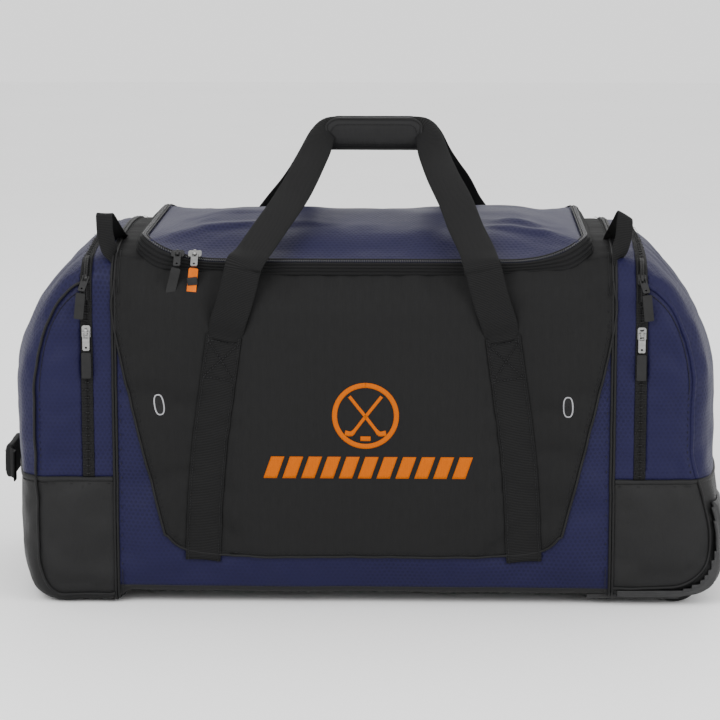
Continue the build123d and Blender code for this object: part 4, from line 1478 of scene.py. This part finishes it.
# ---------------------------------------------------------------- inside
def dividers():
    """The fabric walls between the main space and the end pockets."""
    batch = Batch()
    size = 50
    ys, zs = np.linspace(-1, 1, size), np.linspace(0, 1, size)
    lo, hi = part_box("pocket_dividers")
    for sign in (-1, 1):
        grid = []
        for t in zs:
            z = lo.z + (hi.z - lo.z) * t
            over = max(0.0, z - (DECK - EDGE))
            under = max(0.0, BASE + EDGE - z)
            d = HALF_DEPTH - EDGE + math.sqrt(max(EDGE**2 - max(over, under) ** 2, 1e-6)) - 0.0015
            grid += [(sign * (SEAM - 0.003), y * d, z) for y in ys]
        grid = np.array(grid)
        fade = np.minimum(1, 8 * (1 - np.abs(np.tile(ys, size))))
        fade = fade * np.minimum(1, 8 * (0.5 - np.abs(np.repeat(zs, size) - 0.5)) * 2)
        grid += deck_rise(grid)
        grid[:, 0] -= sign * fade * (0.004 + 0.004 * value_noise(grid, 0.09, 41))
        batch.add(grid, grid_faces(size, size), grid[:, 1:])
    obj = batch.object("pocket_divider_cloth", LINING, "bag")
    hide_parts("pocket_dividers")


dividers()

# ---------------------------------------------------------------- materials of the hard parts kept from the CAD
KEPT = {
    "base_board": PLASTIC, "wheel_housings": PLASTIC, "axles": STEEL, "housing_screws": STEEL,
    "front_tyre": RUBBER, "rear_tyre": RUBBER, "front_hub": GREY_RUBBER, "rear_hub": GREY_RUBBER,
    "front_bearings": STEEL, "rear_bearings": STEEL,
    "main_right_slider": ZINC, "main_right_pull": ZINC, "main_right_tab": ORANGE_RUBBER,
    "main_left_slider": ENAMEL, "main_left_pull": ENAMEL, "main_left_tab": RUBBER,
}
for side in ("left", "right"):
    KEPT.update({f"{side}_lower_slider": ZINC, f"{side}_lower_pull": ZINC, f"{side}_lower_tab": RUBBER,
                 f"{side}_upper_slider": ENAMEL, f"{side}_upper_pull": ENAMEL, f"{side}_upper_tab": RUBBER})
for node, material in KEPT.items():
    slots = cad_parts[node].data.materials
    slots.clear()
    slots.append(material)


def tab_sleeve():
    """The dark middle of the orange tab."""
    lo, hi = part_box("main_right_tab")
    c = (lo + hi) / 2
    lean = math.radians(-6)
    batch = Batch()
    ts = np.linspace(0, 2 * math.pi, 24, endpoint=False)
    rows = []
    for h in (-0.0052, -0.0048, 0.0048, 0.0052):
        k = 1.0 if abs(h) < 0.005 else 0.86
        for t in ts:
            u, v = 0.0066 * k * squared(math.cos(t), 0.3), 0.0020 * k * squared(math.sin(t), 0.3)
            rows.append((c.x - MIDDLE + u * math.cos(lean) + h * math.sin(lean), c.y + v,
                         c.z - u * math.sin(lean) + h * math.cos(lean)))
    n = len(ts)
    faces = [[i * n + k, i * n + (k + 1) % n, (i + 1) * n + (k + 1) % n, (i + 1) * n + k]
             for i in range(3) for k in range(n)]
    batch.add(rows, faces)
    batch.object("tab_sleeve", RUBBER, "lid_slider_pull")


tab_sleeve()


# ---------------------------------------------------------------- studio
def studio():
    """A pale floor, an even white surround and three soft lamps."""
    floor = bpy.data.meshes.new("floor")
    floor.from_pydata([(-9, -9, 0), (9, -9, 0), (9, 9, 0), (-9, 9, 0)], [], [(0, 1, 2, 3)])
    floor.materials.append(floor_material())
    ground = bpy.data.objects.new("floor", floor)
    bpy.context.collection.objects.link(ground)
    world = bpy.data.worlds.new("studio")
    bpy.context.scene.world = world
    world.use_nodes = True
    background = world.node_tree.nodes["Background"]
    background.inputs["Color"].default_value = (1, 1, 1, 1)
    background.inputs["Strength"].default_value = 1.45
    lamps = (("key", (-1.6, -2.6, 2.6), (0, 0, 0.25), 2.2, 90),
             ("fill", (2.4, -2.0, 1.5), (0, 0, 0.25), 2.0, 45),
             ("back", (0.3, 2.2, 2.6), (0, 0, 0.4), 2.4, 22))
    for name, place, aim, size, power in lamps:
        data = bpy.data.lights.new(name, "AREA")
        data.size = size
        data.energy = power
        lamp = bpy.data.objects.new(name, data)
        lamp.location = place
        lamp.rotation_euler = (Vector(aim) - Vector(place)).to_track_quat("-Z", "Y").to_euler()
        bpy.context.collection.objects.link(lamp)


def camera():
    """A long lens in front of the bag, a little above it and turned a little to the right."""
    far, high, left = 3.944, 0.951, -0.0005
    data = bpy.data.cameras.new("camera")
    data.lens = 147.7
    data.sensor_width = 36
    obj = bpy.data.objects.new("camera", data)
    turn = math.radians(1.5)
    obj.location = (left + far * math.sin(turn), -far * math.cos(turn), high)
    obj.rotation_euler = (math.radians(90 - 9.57), 0, turn)
    bpy.context.collection.objects.link(obj)
    bpy.context.scene.camera = obj


studio()
camera()
